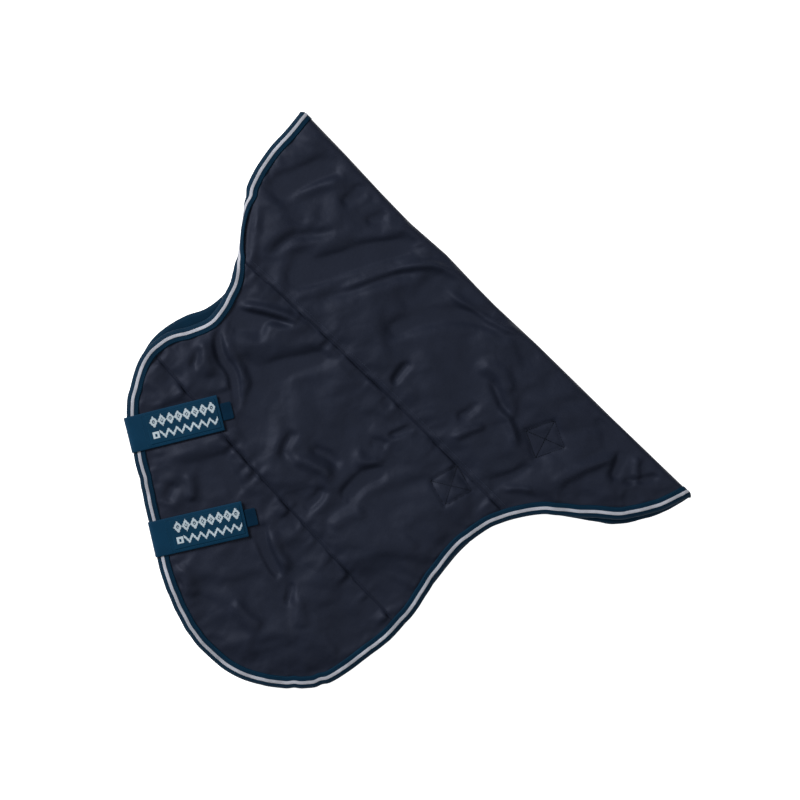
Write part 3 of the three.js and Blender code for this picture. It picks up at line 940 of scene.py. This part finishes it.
def tape_point(run, lift):
    """(inset, height) at a run from the tape's upper edge, lifted off its outer face."""
    at = np.column_stack([np.interp(run, SECTION_RUN, SECTION[:, i]) for i in range(2)])
    ahead = np.column_stack([np.interp(run + 0.3, SECTION_RUN, SECTION[:, i]) for i in range(2)])
    behind = np.column_stack([np.interp(run - 0.3, SECTION_RUN, SECTION[:, i]) for i in range(2)])
    along = ahead - behind
    along /= np.linalg.norm(along, axis=1)[:, None] + 1e-9
    return at + np.column_stack([along[:, 1], -along[:, 0]]) * np.asarray(lift).reshape(-1, 1)


def swept_tape(name, runs, lifts, material, waves=0.0):
    """A closed band swept round the outline. Runs and lifts are those of its section's points in order."""
    count, total = len(runs), len(OUTLINE.points)
    roll = roll_at(np.arange(total)) * ROLL_SHIFT
    ripple = waves * (line_noise(OUTLINE.station, 9, 61) + line_noise(OUTLINE.station, 21, 62))
    points, uv = [], []
    for run, lift in zip(runs, lifts):
        section = tape_point(run + roll, lift)
        inner = smoothstep((BINDING_WIDTH * 0.9 - run) / 12) if run < BINDING_WIDTH else 0
        height = section[:, 1] + ripple * inner
        flat = OUTLINE.points + OUTLINE.square * section[:, :1]
        points.append(fold_map(flat, height))
        uv.append(np.column_stack([OUTLINE.station, np.full(total, run)]))
    points, uv = np.stack(points, 1), np.stack(uv, 1)
    faces = []
    for i in range(total):
        j = (i + 1) % total
        for k in range(count):
            m = (k + 1) % count
            faces.append((i * count + k, i * count + m, j * count + m, j * count + k))
    return mesh_object(name, points.reshape(-1, 3), faces, material, uv=uv.reshape(-1, 2))


def blend_at_fold(piece):
    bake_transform(piece)


def make_binding():
    outer = [np.arange(0, 13, 2.2), np.arange(13, 31, 1.5), np.arange(31, SECTION_LENGTH, 2.4)]
    outer = np.concatenate(outer)
    runs = np.concatenate([outer, outer[::-1]])
    lifts = np.concatenate([np.zeros(len(outer)), np.full(len(outer), -TAPE)])
    tape = swept_tape("binding_tape", runs, lifts, binding_tape(), waves=0.22)
    blend_at_fold(tape)
    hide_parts("near_binding", "far_binding")
    low = BINDING_WIDTH - STRIPE_INSET - STRIPE_WIDTH
    across = np.linspace(low, low + STRIPE_WIDTH, 8)
    crowned = STRIPE_RISE * (0.55 + 0.45 * np.sqrt(np.clip(1 - np.linspace(-1, 1, 8) ** 4, 0, 1)))
    runs = np.concatenate([across, across[::-1]])
    lifts = np.concatenate([crowned, np.full(8, -0.1)])
    stripe = swept_tape("silver_stripe", runs, lifts, stripe_tape(), waves=0.22)
    blend_at_fold(stripe)
    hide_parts("near_silver_stripe", "far_silver_stripe")


# ======================= Webbing =======================
RIBBON_ACROSS = np.array([-1, -0.975, -0.9, -0.6, -0.2, 0.2, 0.6, 0.9, 0.975, 1])
RIBBON_THICK = np.array([0.35, 0.8, 1.0, 0.9, 0.9, 0.9, 0.9, 1.0, 0.8, 0.35])


def ribbon(name, path, across, width, thickness, material, corner=0.0, both=False):
    """A woven band along a path, with soft selvedges, and round corners at its last end or at both ends."""
    path = np.asarray(path, float)
    run = run_along(path)
    if corner:
        steps = corner * (1 - np.sin(np.linspace(0, math.pi / 2, 6)))
        extra = np.concatenate([run[-1] - steps, steps]) if both else run[-1] - steps
        at = np.unique(np.round(np.concatenate([run, extra]), 4))
        path = np.column_stack([np.interp(at, run, path[:, i]) for i in range(3)])
        run = at
    along = unit(np.gradient(path, axis=0))
    across = np.asarray(across, float) / np.linalg.norm(across)
    up = np.cross(along, across)
    half = np.full(len(run), width / 2)
    if corner:
        rest = np.clip(1 - (run[-1] - run) / corner, 0, 1)
        rest = np.maximum(rest, np.clip(1 - run / corner, 0, 1)) if both else rest
        half -= corner * (1 - np.sqrt(np.clip(1 - rest**2, 0, 1)))
    columns = len(RIBBON_ACROSS)
    points, uv = [], []
    for sign, order in ((1, slice(None)), (-1, slice(None, None, -1))):
        for share, thick in zip(RIBBON_ACROSS[order], RIBBON_THICK[order]):
            offset = up * (sign * thick * thickness / 2)
            points.append(path + across * (half * share)[:, None] + offset)
            uv.append(np.column_stack([run + sign * 0.001, half * share]))
    ring = 2 * columns
    points, uv = np.stack(points, 1).reshape(-1, 3), np.stack(uv, 1).reshape(-1, 2)
    faces = []
    for i in range(len(run) - 1):
        for k in range(ring):
            m = (k + 1) % ring
            faces.append((i * ring + k, i * ring + m, (i + 1) * ring + m, (i + 1) * ring + k))
    last = (len(run) - 1) * ring
    for k in range(columns - 1):
        a, b = k, ring - 1 - k
        faces.append((a, b, b - 1, a + 1))
        faces.append((last + a, last + a + 1, last + b - 1, last + b))
    return mesh_object(name, points, faces, material, uv=uv)


def stitches(name, rows, material, pitch=3.6, radius=0.34):
    """Threads laid end to end along rows. Each row is its points and the face's outward direction."""
    rings = ((-0.5, 0.2, -0.3), (-0.34, 1.0, 0.12), (0.34, 1.0, 0.12), (0.5, 0.2, -0.3))
    sides = 6
    turn = np.arange(sides) * 2 * math.pi / sides
    points, faces, base = [], [], 0
    for row, outward in rows:
        row = resampled(row, pitch)
        a, b = row[:-1], row[1:]
        along = b - a
        length = np.linalg.norm(along, axis=1)[:, None]
        along = along / length
        outward_all = np.broadcast_to(np.asarray(outward, float), a.shape)
        side = unit(np.cross(outward_all, along))
        up = np.cross(along, side)
        for i in range(len(a)):
            middle = (a[i] + b[i]) / 2
            for share, size, lift in rings:
                centre = middle + along[i] * length[i] * 0.86 * share + up[i] * lift
                for angle in turn:
                    spoke = side[i] * math.cos(angle) + up[i] * math.sin(angle)
                    points.append(centre + radius * size * spoke)
            for k in range(len(rings) - 1):
                for m in range(sides):
                    n = (m + 1) % sides
                    low, high = base + k * sides, base + (k + 1) * sides
                    faces.append((low + m, low + n, high + n, high + m))
            faces.append(tuple(base + m for m in reversed(range(sides))))
            faces.append(tuple(base + (len(rings) - 1) * sides + m for m in range(sides)))
            base += len(rings) * sides
    return mesh_object(name, points, faces, material)


def square_rows(length, width):
    """A box-X of stitching in its own plane: a rectangle and its two diagonals."""
    a, b = length / 2, width / 2
    ring = [(-a, -b), (a, -b), (a, b), (-a, b), (-a, -b)]
    rows = [[ring[i], ring[i + 1]] for i in range(4)]
    return rows + [[(-a, -b), (a, b)], [(-a, b), (a, -b)]]


STRAP_WAVE = 0.22


def strap_wave(along):
    """How much the flap rises and falls along its length."""
    along = np.asarray(along, float)
    return STRAP_WAVE * line_noise(along, 38, 71) * smoothstep((along - 15) / 20)


def make_strap(strap):
    """The strap's webbing, from its sewn base round the front edge to its end, and what is sewn on it."""
    base_low, base_high = strap.spans["strap_base"]
    flap_low, flap_high = strap.spans["strap_flap"]
    thickness = flap_high[2] - flap_low[2]
    width = flap_high[1] - flap_low[1]
    low = base_low[2] + thickness / 2
    high = flap_low[2] + thickness / 2
    radius = (high - low) / 2
    middle = radius + 1.0
    base = np.arange(base_high[0], middle, -4)
    turn = np.linspace(0, math.pi, 16)
    flap = np.arange(middle + 3, flap_high[0], 3)
    flap = np.append(flap, flap_high[0])
    x = np.concatenate([base, middle - radius * np.sin(turn), flap])
    z = np.concatenate([np.full(len(base), low), low + radius * (1 - np.cos(turn)), high + strap_wave(flap)])
    path = strap.middle_line(x, z)
    across = np.append(strap.across, 0)
    name = strap.name
    body = name + "_strap"
    band = ribbon(name + "_strap_webbing", path, across, width, thickness, webbing_cloth())
    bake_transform(band)
    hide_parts(name + "_strap_base", name + "_strap_flap")

    for key, rides, material, piece_name in (
        ("hook_tape", body, hook_tape(), name + "_hook_band"),
        ("loop_patch", "near_half", loop_tape(), name + "_loop_band"),
    ):
        lo, hi = strap.spans[key]
        x = np.arange(lo[0], hi[0] + 0.1, 3)
        z = np.full(len(x), (lo[2] + hi[2]) / 2)
        if key == "hook_tape":
            z = z + strap_wave(x)
        path = strap.middle_line(x, z)
        tape = ribbon(piece_name, path, across, hi[1] - lo[1], hi[2] - lo[2], material, corner=2.5, both=True)
        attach(tape, rides)
        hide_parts(name + "_" + key)

    make_label(strap, high + thickness / 2 * 0.92, body)
    lo, hi = strap.spans["pull_tab"]
    x = np.arange(lo[0] - 0.1, hi[0] + 0.1, 1.5)
    z = (lo[2] + hi[2]) / 2 - 0.5 * smoothstep((x - lo[0]) / (hi[0] - lo[0]))
    path = strap.middle_line(x, z)
    pull = ribbon(name + "_pull_ribbon", path, across, hi[1] - lo[1], (hi[2] - lo[2]) * 1.2, pull_cloth(),
                  corner=2.5)
    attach(pull, name + "_tab")
    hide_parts(name + "_pull_tab")
    make_strap_stitches(strap, high + thickness / 2, low + thickness / 2)


def make_strap_stitches(strap, top, base_top):
    """Threads round the label, across the flap's end and in the base's box-X."""
    name = strap.name
    lo, hi = strap.spans["woven_label"]
    end = strap.spans["strap_flap"][1][0]
    half = (hi[1] - lo[1]) / 2 + 1.2
    rows = []
    for across in (-half, half):
        x = np.arange(lo[0] - 6, end - 2, 4)
        points = strap.to_frame(x, np.full(len(x), across), top + strap_wave(x) + 0.1)
        rows.append((points, (0, 0, 1)))
    for x in (lo[0] - 6, end - 3):
        y = np.array([-half, half])
        rows.append((strap.to_frame(np.full(2, x), y, top + strap_wave([x])[0] + 0.1), (0, 0, 1)))
    piece = stitches(name + "_strap_stitching", rows, strap_thread(), pitch=3.0, radius=0.24)
    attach(piece, name + "_strap")
    base_end = strap.spans["strap_base"][1][0]
    rows = []
    for row in square_rows(34, 46):
        points = np.array(row) + (base_end - 21, 0)
        rows.append((strap.to_frame(points[:, 0], points[:, 1], base_top + 0.02), (0, 0, 1)))
    piece = stitches(name + "_base_stitching", rows, strap_thread(), pitch=3.0, radius=0.2)
    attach(piece, "far_half")


LABEL_CELL = 1.15
LABEL_MARGIN = 5.0
MOTIF_PITCH = 13.2  # from one diamond, or one zigzag, to the next


def label_pattern(x, y, length, width):
    """Whether a cell of the label is light thread: a row of diamonds above a row of zigzags."""
    margin = LABEL_MARGIN
    inside = (x > margin) & (x < length - 2)
    row = width / 2
    u = ((x - margin) / MOTIF_PITCH) % 1 * 2 - 1
    v = (y - row * 0.47) / 9.4
    size = np.abs(u) + np.abs(v)
    diamonds = (size < 1.0) & (size > 0.42) | (size < 0.2)
    v = y + row * 0.44
    wave = np.abs(u) * 9.5 - 4.75
    zigzag = (np.abs(v - wave) < 2.5) & (x > margin + 12)
    out = np.maximum(np.abs(v), np.abs(x - margin - 6))
    square = (out < 5) & ~(out < 2)
    return inside & (diamonds & (y > 0) | (zigzag | square) & (y < -0.5))


def make_label(strap, top, body):
    lo, hi = strap.spans["woven_label"]
    length, width = hi[0] - lo[0], hi[1] - lo[1]
    columns, rows = round(length / LABEL_CELL), round(width / LABEL_CELL)
    x = np.linspace(0, length, columns + 1)
    y = np.linspace(-width / 2, width / 2, rows + 1)
    cell_x, cell_y = np.meshgrid((x[1:] + x[:-1]) / 2, (y[1:] + y[:-1]) / 2, indexing="ij")
    light = label_pattern(cell_x, cell_y, length, width)
    padded = np.pad(light, 1)
    corner = (padded[1:, 1:].astype(float) + padded[:-1, 1:] + padded[1:, :-1] + padded[:-1, :-1]) / 4
    grid_x, grid_y = np.meshgrid(x, y, indexing="ij")
    rib = 0.05 * np.where(np.arange(columns + 1) % 2, 1, -1)[:, None]
    edge = np.minimum(np.minimum(grid_x, length - grid_x), width / 2 - np.abs(grid_y))
    height = top + 0.1 + 0.28 * smoothstep(edge / 1.2) + 0.12 * corner + rib * (edge > 0.1)
    height = height + strap_wave(grid_x.ravel() + lo[0]).reshape(grid_x.shape)
    flat = strap.to_frame(grid_x.ravel() + lo[0], grid_y.ravel(), 0)
    flat[:, 2] = height.ravel()
    faces, chosen = [], []
    for i in range(columns):
        for j in range(rows):
            a = i * (rows + 1) + j
            faces.append((a, a + rows + 1, a + rows + 2, a + 1))
            chosen.append(int(light[i, j]))
    piece = mesh_object(strap.name + "_label_weave", flat, faces, [label_ground(), label_thread()],
                        uv=np.column_stack([grid_x.ravel(), grid_y.ravel()]))
    piece.data.polygons.foreach_set("material_index", chosen)
    solidify(piece, 0.25)
    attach(piece, body)
    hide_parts(strap.name + "_woven_label")


def make_rug_tab(tab):
    half = tab.name.split("_")[0]
    run = np.arange(0, tab.length + 0.1, 4)
    flat = tab.start + np.outer(run, tab.heading)
    z = np.full(len(run), (tab.low + tab.high) / 2)
    path = np.column_stack([flat, z])
    piece = ribbon(tab.name + "_webbing", path, np.append(tab.side, 0), tab.width, tab.high - tab.low,
                   webbing_cloth(), corner=6)
    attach(piece, half + "_half")
    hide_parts(tab.name)
    rows = []
    surface = tab.high if half == "far" else tab.low
    outward = (0, 0, 1 if half == "far" else -1)
    for row in square_rows(SQUARE_LENGTH - 4, SQUARE_WIDTH - 8):
        flat = tab.square_points(row)
        rows.append((np.column_stack([flat, np.full(2, surface)]), outward))
    piece = stitches(tab.name + "_stitching", rows, seam_thread(), pitch=3.2, radius=0.22)
    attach(piece, half + "_half")


# ======================= Seam threads =======================
def cloth_row(points, lift=0.15):
    """A row of points on the shell, from points (x, t)."""
    fine = resampled(points, 3.0)
    return fold_map(fine, shell_heights(fine) + lift)


def make_seam_threads():
    """Topstitching of the seams, the box-X squares and the binding."""
    for half, side in (("near", 1), ("far", -1)):
        outward = (0, 0, side)
        for kind, lines, yarn in (("seam", ((seam_a, 2.2), (seam_b, 2.2)), seam_thread()),
                                  ("felling", ((seam_a, 9.0),), felling_thread())):
            rows = []
            for seam, gap in lines:
                x = np.arange(HOOD_MIDDLE - HOOD_LENGTH / 2, HOOD_MIDDLE + HOOD_LENGTH / 2, 4.0)
                line = np.column_stack([x, side * (seam_depth(seam, x) - gap)])
                distance, _ = OUTLINE.measure(line)
                line = line[distance > BINDING_WIDTH + 1]
                rows.append((cloth_row(line, 0.45), outward))
            piece = stitches(f"{half}_{kind}_stitching", rows, yarn)
            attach(piece, half + "_half")
        rows = []
        for tab in TABS:
            if not tab.name.startswith(half):
                continue
            for row in square_rows(SQUARE_LENGTH, SQUARE_WIDTH):
                flat = tab.square_points(row)
                line = np.column_stack([flat[:, 0], side * (ARC + FOLD_Y - flat[:, 1])])
                rows.append((cloth_row(line, 0.5), outward))
        piece = stitches(half + "_box_stitching", rows, seam_thread(), radius=0.6)
        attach(piece, half + "_half")
        make_binding_threads(half, side)


def make_binding_threads(half, side):
    """One row along the binding's inner edge on its outer face."""
    run = 2.0
    roll = roll_at(np.arange(len(OUTLINE.points))) * ROLL_SHIFT
    section = tape_point(run + roll, 0.12)
    flat = OUTLINE.points + OUTLINE.square * section[:, :1]
    points = fold_map(flat, section[:, 1])
    chosen = side * flat[:, 1] > ARC + 2
    turn = np.flatnonzero(chosen & ~np.roll(chosen, 1))[0]
    points, chosen = np.roll(points, -turn, 0), np.roll(chosen, -turn)
    rows = [(points[chosen], (0, 0, side))]
    piece = stitches(half + "_binding_stitching", rows, binding_thread(), pitch=3.2, radius=0.26)
    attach(piece, half + "_half")


# ======================= Materials =======================
MADE = {}
SHEEN_ROUGHNESS = 0.5


def material(name, color, roughness, specular, sheen=0.0):
    """A cloth material's shader, with what is the same all over set on its own sockets."""
    made = bpy.data.materials.new(name)
    made.use_nodes = True
    shader = made.node_tree.nodes["Principled BSDF"]
    shader.inputs["Base Color"].default_value = (*color, 1)
    shader.inputs["Roughness"].default_value = roughness
    shader.inputs["Specular IOR Level"].default_value = specular
    shader.inputs["Sheen Weight"].default_value = sheen
    shader.inputs["Sheen Roughness"].default_value = SHEEN_ROUGHNESS
    brightest = max(color)
    tint = (*[0.5 + 0.5 * c / brightest for c in color], 1)
    shader.inputs["Sheen Tint"].default_value = tint
    shader.inputs["Specular Tint"].default_value = tint
    return made, shader


def node(tree, kind, **settings):
    made = tree.nodes.new(kind)
    for key, value in settings.items():
        if key in made.inputs:
            made.inputs[key].default_value = value
        else:
            setattr(made, key, value)
    return made


def cloth_coordinates(tree):
    return node(tree, "ShaderNodeUVMap", uv_map="cloth").outputs["UV"]


def mottled(tree, vector, color, spread, scale):
    """Colour that varies a little over the cloth."""
    noise = node(tree, "ShaderNodeTexNoise", Scale=scale, Detail=4.0, Roughness=0.6)
    tree.links.new(vector, noise.inputs["Vector"])
    ramp = node(tree, "ShaderNodeValToRGB")
    ramp.color_ramp.elements[0].position = 0.3
    ramp.color_ramp.elements[1].position = 0.7
    ramp.color_ramp.elements[0].color = (*[c * (1 - spread) for c in color], 1)
    ramp.color_ramp.elements[1].color = (*[c * (1 + spread) for c in color], 1)
    tree.links.new(noise.outputs["Fac"], ramp.inputs["Fac"])
    return ramp.outputs["Color"]


def threads(tree, vector, period_along, period_across, diagonal=False):
    """Height of a weave: ribs across both ways, or a twill, with periods in millimetres."""
    waves = []
    for direction, period in (("X", period_along), ("Y", period_across)):
        if diagonal and direction == "X":
            direction = "DIAGONAL"
        wave = node(tree, "ShaderNodeTexWave", bands_direction=direction, Scale=math.pi / 10 / (period * MM),
                    Distortion=0.0)
        tree.links.new(vector, wave.inputs["Vector"])
        waves.append(wave.outputs["Fac"])
    total = node(tree, "ShaderNodeMath", operation="MULTIPLY")
    tree.links.new(waves[0], total.inputs[0])
    tree.links.new(waves[1], total.inputs[1])
    return total.outputs["Value"]


def bumped(tree, shader, height, strength, distance):
    """Adds a bump of that many millimetres to the shader, on top of the ones it has."""
    bump = node(tree, "ShaderNodeBump", Strength=strength, Distance=distance * MM)
    tree.links.new(height, bump.inputs["Height"])
    before = shader.inputs["Normal"].links
    if before:
        tree.links.new(before[0].from_socket, bump.inputs["Normal"])
    tree.links.new(bump.outputs["Normal"], shader.inputs["Normal"])


def varied_roughness(tree, shader, vector, low, high, scale):
    noise = node(tree, "ShaderNodeTexNoise", Scale=scale, Detail=3.0)
    tree.links.new(vector, noise.inputs["Vector"])
    span = node(tree, "ShaderNodeMapRange")
    span.inputs["To Min"].default_value = low
    span.inputs["To Max"].default_value = high
    tree.links.new(noise.outputs["Fac"], span.inputs["Value"])
    tree.links.new(span.outputs["Result"], shader.inputs["Roughness"])


def woven(name, color, roughness, periods, depth, spread, specular, sheen=0.0, diagonal=False, crinkle=0.0):
    """A woven cloth: mottled colour, varied roughness, a thread relief and, if asked, a fine crinkle."""
    if name in MADE:
        return MADE[name]
    made, shader = material(name, color, roughness, specular, sheen)
    tree = made.node_tree
    vector = cloth_coordinates(tree)
    base = mottled(tree, vector, color, spread, 22.0)
    relief = threads(tree, vector, *periods, diagonal=diagonal)
    shade = node(tree, "ShaderNodeMix", data_type="RGBA", blend_type="MULTIPLY")
    shade.inputs["Factor"].default_value = 0.35
    tree.links.new(base, shade.inputs["A"])
    tree.links.new(relief, shade.inputs["B"])
    tree.links.new(shade.outputs["Result"], shader.inputs["Base Color"])
    varied_roughness(tree, shader, vector, roughness - 0.06, roughness + 0.08, 40.0)
    if crinkle:
        noise = node(tree, "ShaderNodeTexNoise", Scale=170.0, Detail=5.0, Roughness=0.55)
        tree.links.new(vector, noise.inputs["Vector"])
        bumped(tree, shader, noise.outputs["Fac"], 1.0, crinkle)
    bumped(tree, shader, relief, 1.0, depth)
    MADE[name] = made
    return made


def shell_cloth():
    return woven("shell_nylon", (0.0112, 0.0143, 0.0256), 0.52, (0.55, 0.55), 0.02, spread=0.1,
                 specular=0.105, crinkle=0.3)


def lining_cloth():
    return woven("lining_taffeta", (0.010, 0.016, 0.034), 0.38, (0.4, 0.4), 0.015, spread=0.08, specular=0.2,
                 sheen=0.03, crinkle=0.2)


def batting():
    return woven("polyester_batting", (0.8, 0.8, 0.77), 0.95, (2.0, 2.0), 0.3, spread=0.06, specular=0.1,
                 sheen=0.3, crinkle=1.0)


def binding_tape():
    return woven("binding_grosgrain", (0.0022, 0.0170, 0.0370), 0.6, (1.1, 2.6), 0.12, spread=0.15,
                 specular=0.05, sheen=0.03)


def stripe_tape():
    return woven("silver_twill", (0.38, 0.39, 0.44), 0.42, (1.3, 1.8), 0.3, spread=0.35, specular=0.3,
                 sheen=0.05, diagonal=True)


def webbing_cloth():
    return woven("strap_webbing", (0.0030, 0.029, 0.064), 0.52, (1.6, 1.9), 0.14, spread=0.12, specular=0.06,
                 sheen=0.03, diagonal=True)


def pull_cloth():
    return woven("pull_webbing", (0.0015, 0.0155, 0.036), 0.58, (1.3, 1.5), 0.12, spread=0.12, specular=0.05,
                 sheen=0.03)


def hook_tape():
    return woven("hook_field", (0.006, 0.009, 0.016), 0.6, (1.0, 1.0), 0.5, spread=0.3, specular=0.1)


def loop_tape():
    return woven("loop_field", (0.008, 0.011, 0.02), 0.95, (2.2, 2.4), 0.1, spread=0.35, specular=0.08,
                 sheen=0.1, crinkle=0.9)


def label_ground():
    return woven("label_ground", (0.0030, 0.029, 0.062), 0.55, (0.9, 1.2), 0.08, spread=0.1, specular=0.06,
                 sheen=0.03)


def label_thread():
    return woven("label_thread", (0.42, 0.5, 0.55), 0.5, (0.9, 1.2), 0.1, spread=0.1, specular=0.4, sheen=0.1)


def thread(name, color):
    """Thread has no cloth coordinates, so its twist follows the frame."""
    if name in MADE:
        return MADE[name]
    made, shader = material(name, color, 0.5, 0.12)
    tree = made.node_tree
    place = node(tree, "ShaderNodeTexCoord").outputs["Object"]
    tree.links.new(mottled(tree, place, color, 0.2, 300.0), shader.inputs["Base Color"])
    noise = node(tree, "ShaderNodeTexNoise", Scale=2500.0, Detail=2.0)
    tree.links.new(place, noise.inputs["Vector"])
    bumped(tree, shader, noise.outputs["Fac"], 0.6, 0.1)
    MADE[name] = made
    return made


# Dark navy thread, darkened past its own colour to stand for the shade in the stitched grooves: partly
# painted shade.
def seam_thread():
    return thread("seam_thread", (0.0045, 0.006, 0.011))


def felling_thread():
    return thread("felling_thread", (0.022, 0.028, 0.046))


def binding_thread():
    return thread("binding_thread", (0.004, 0.030, 0.060))


def strap_thread():
    return thread("strap_thread", (0.005, 0.038, 0.075))


# ======================= Stage =======================
FLOOR_REACH = 4000
FLOOR_Z = -0.7


def area_light(name, place, target, size, power):
    data = bpy.data.lights.new(name, "AREA")
    data.shape = "SQUARE"
    data.size = size
    data.energy = power
    lamp = bpy.data.objects.new(name, data)
    bpy.context.scene.collection.objects.link(lamp)
    lamp.location = place
    lamp.rotation_mode = "QUATERNION"
    lamp.rotation_quaternion = (Vector(target) - Vector(place)).to_track_quat("-Z", "Y")
    return lamp


def make_stage():
    """A pale floor, and soft light from one side and from above."""
    paint, shader = material("floor_paint", (0.86, 0.86, 0.86), 0.9, 0.1)
    shader.inputs["Emission Color"].default_value = (1, 1, 1, 1)
    shader.inputs["Emission Strength"].default_value = 0.8
    corners = [(x * FLOOR_REACH, y * FLOOR_REACH, FLOOR_Z) for x, y in ((-1, -1), (1, -1), (1, 1), (-1, 1))]
    floor = mesh_object("floor", corners, [(0, 1, 2, 3)], paint)
    area_light("key", (-4.2, -0.9, 3.5), (0, 0.05, 0), 2.3, 430)
    area_light("overhead", (1.0, 0.7, 3.2), (0, 0.05, 0), 2.4, 36)
    world = bpy.data.worlds.new("studio")
    world.use_nodes = True
    world.node_tree.nodes["Background"].inputs["Color"].default_value = (0.96, 0.98, 1.0, 1)
    world.node_tree.nodes["Background"].inputs["Strength"].default_value = 0.18
    bpy.context.scene.world = world
    bpy.context.scene.view_settings.view_transform = "Standard"


# --- Camera, in metres ---
CAMERA_TARGET = (-0.0024, 0.1390, 0.022)
CAMERA_DISTANCE = 2.411
CAMERA_LENS = 70
CAMERA_TURN = 44.63  # of the picture's right from +X, in degrees


def make_camera():
    data = bpy.data.cameras.new("camera")
    data.lens = CAMERA_LENS
    data.sensor_width = 36
    camera = bpy.data.objects.new("camera", data)
    bpy.context.scene.collection.objects.link(camera)
    camera.location = Vector(CAMERA_TARGET) + Vector((0, 0, CAMERA_DISTANCE))
    camera.rotation_euler = (0, 0, math.radians(CAMERA_TURN))
    bpy.context.scene.camera = camera


# ======================= The hood =======================
def make_hood():
    for half in ("near", "far"):
        make_batting(half)
    make_binding()
    for strap in STRAPS:
        make_strap(strap)
    for tab in TABS:
        make_rug_tab(tab)
    make_seam_threads()
    shell = make_shell()
    piece, flat, faces = shell["shell_crest_panel"]
    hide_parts("near_crest_panel", "far_crest_panel", "crest_fold_strip")
    blend_at_fold(piece)
    for half in ("near", "far"):
        for panel in ("neck", "chest"):
            piece, flat, faces = shell[f"{half}_shell_{panel}_panel"]
            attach(piece, half + "_half")
            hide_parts(f"{half}_{panel}_panel")
    piece, flat, faces = make_lining()
    blend_at_fold(piece)
    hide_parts("near_lining", "far_lining")


make_camera()
make_stage()
make_hood()
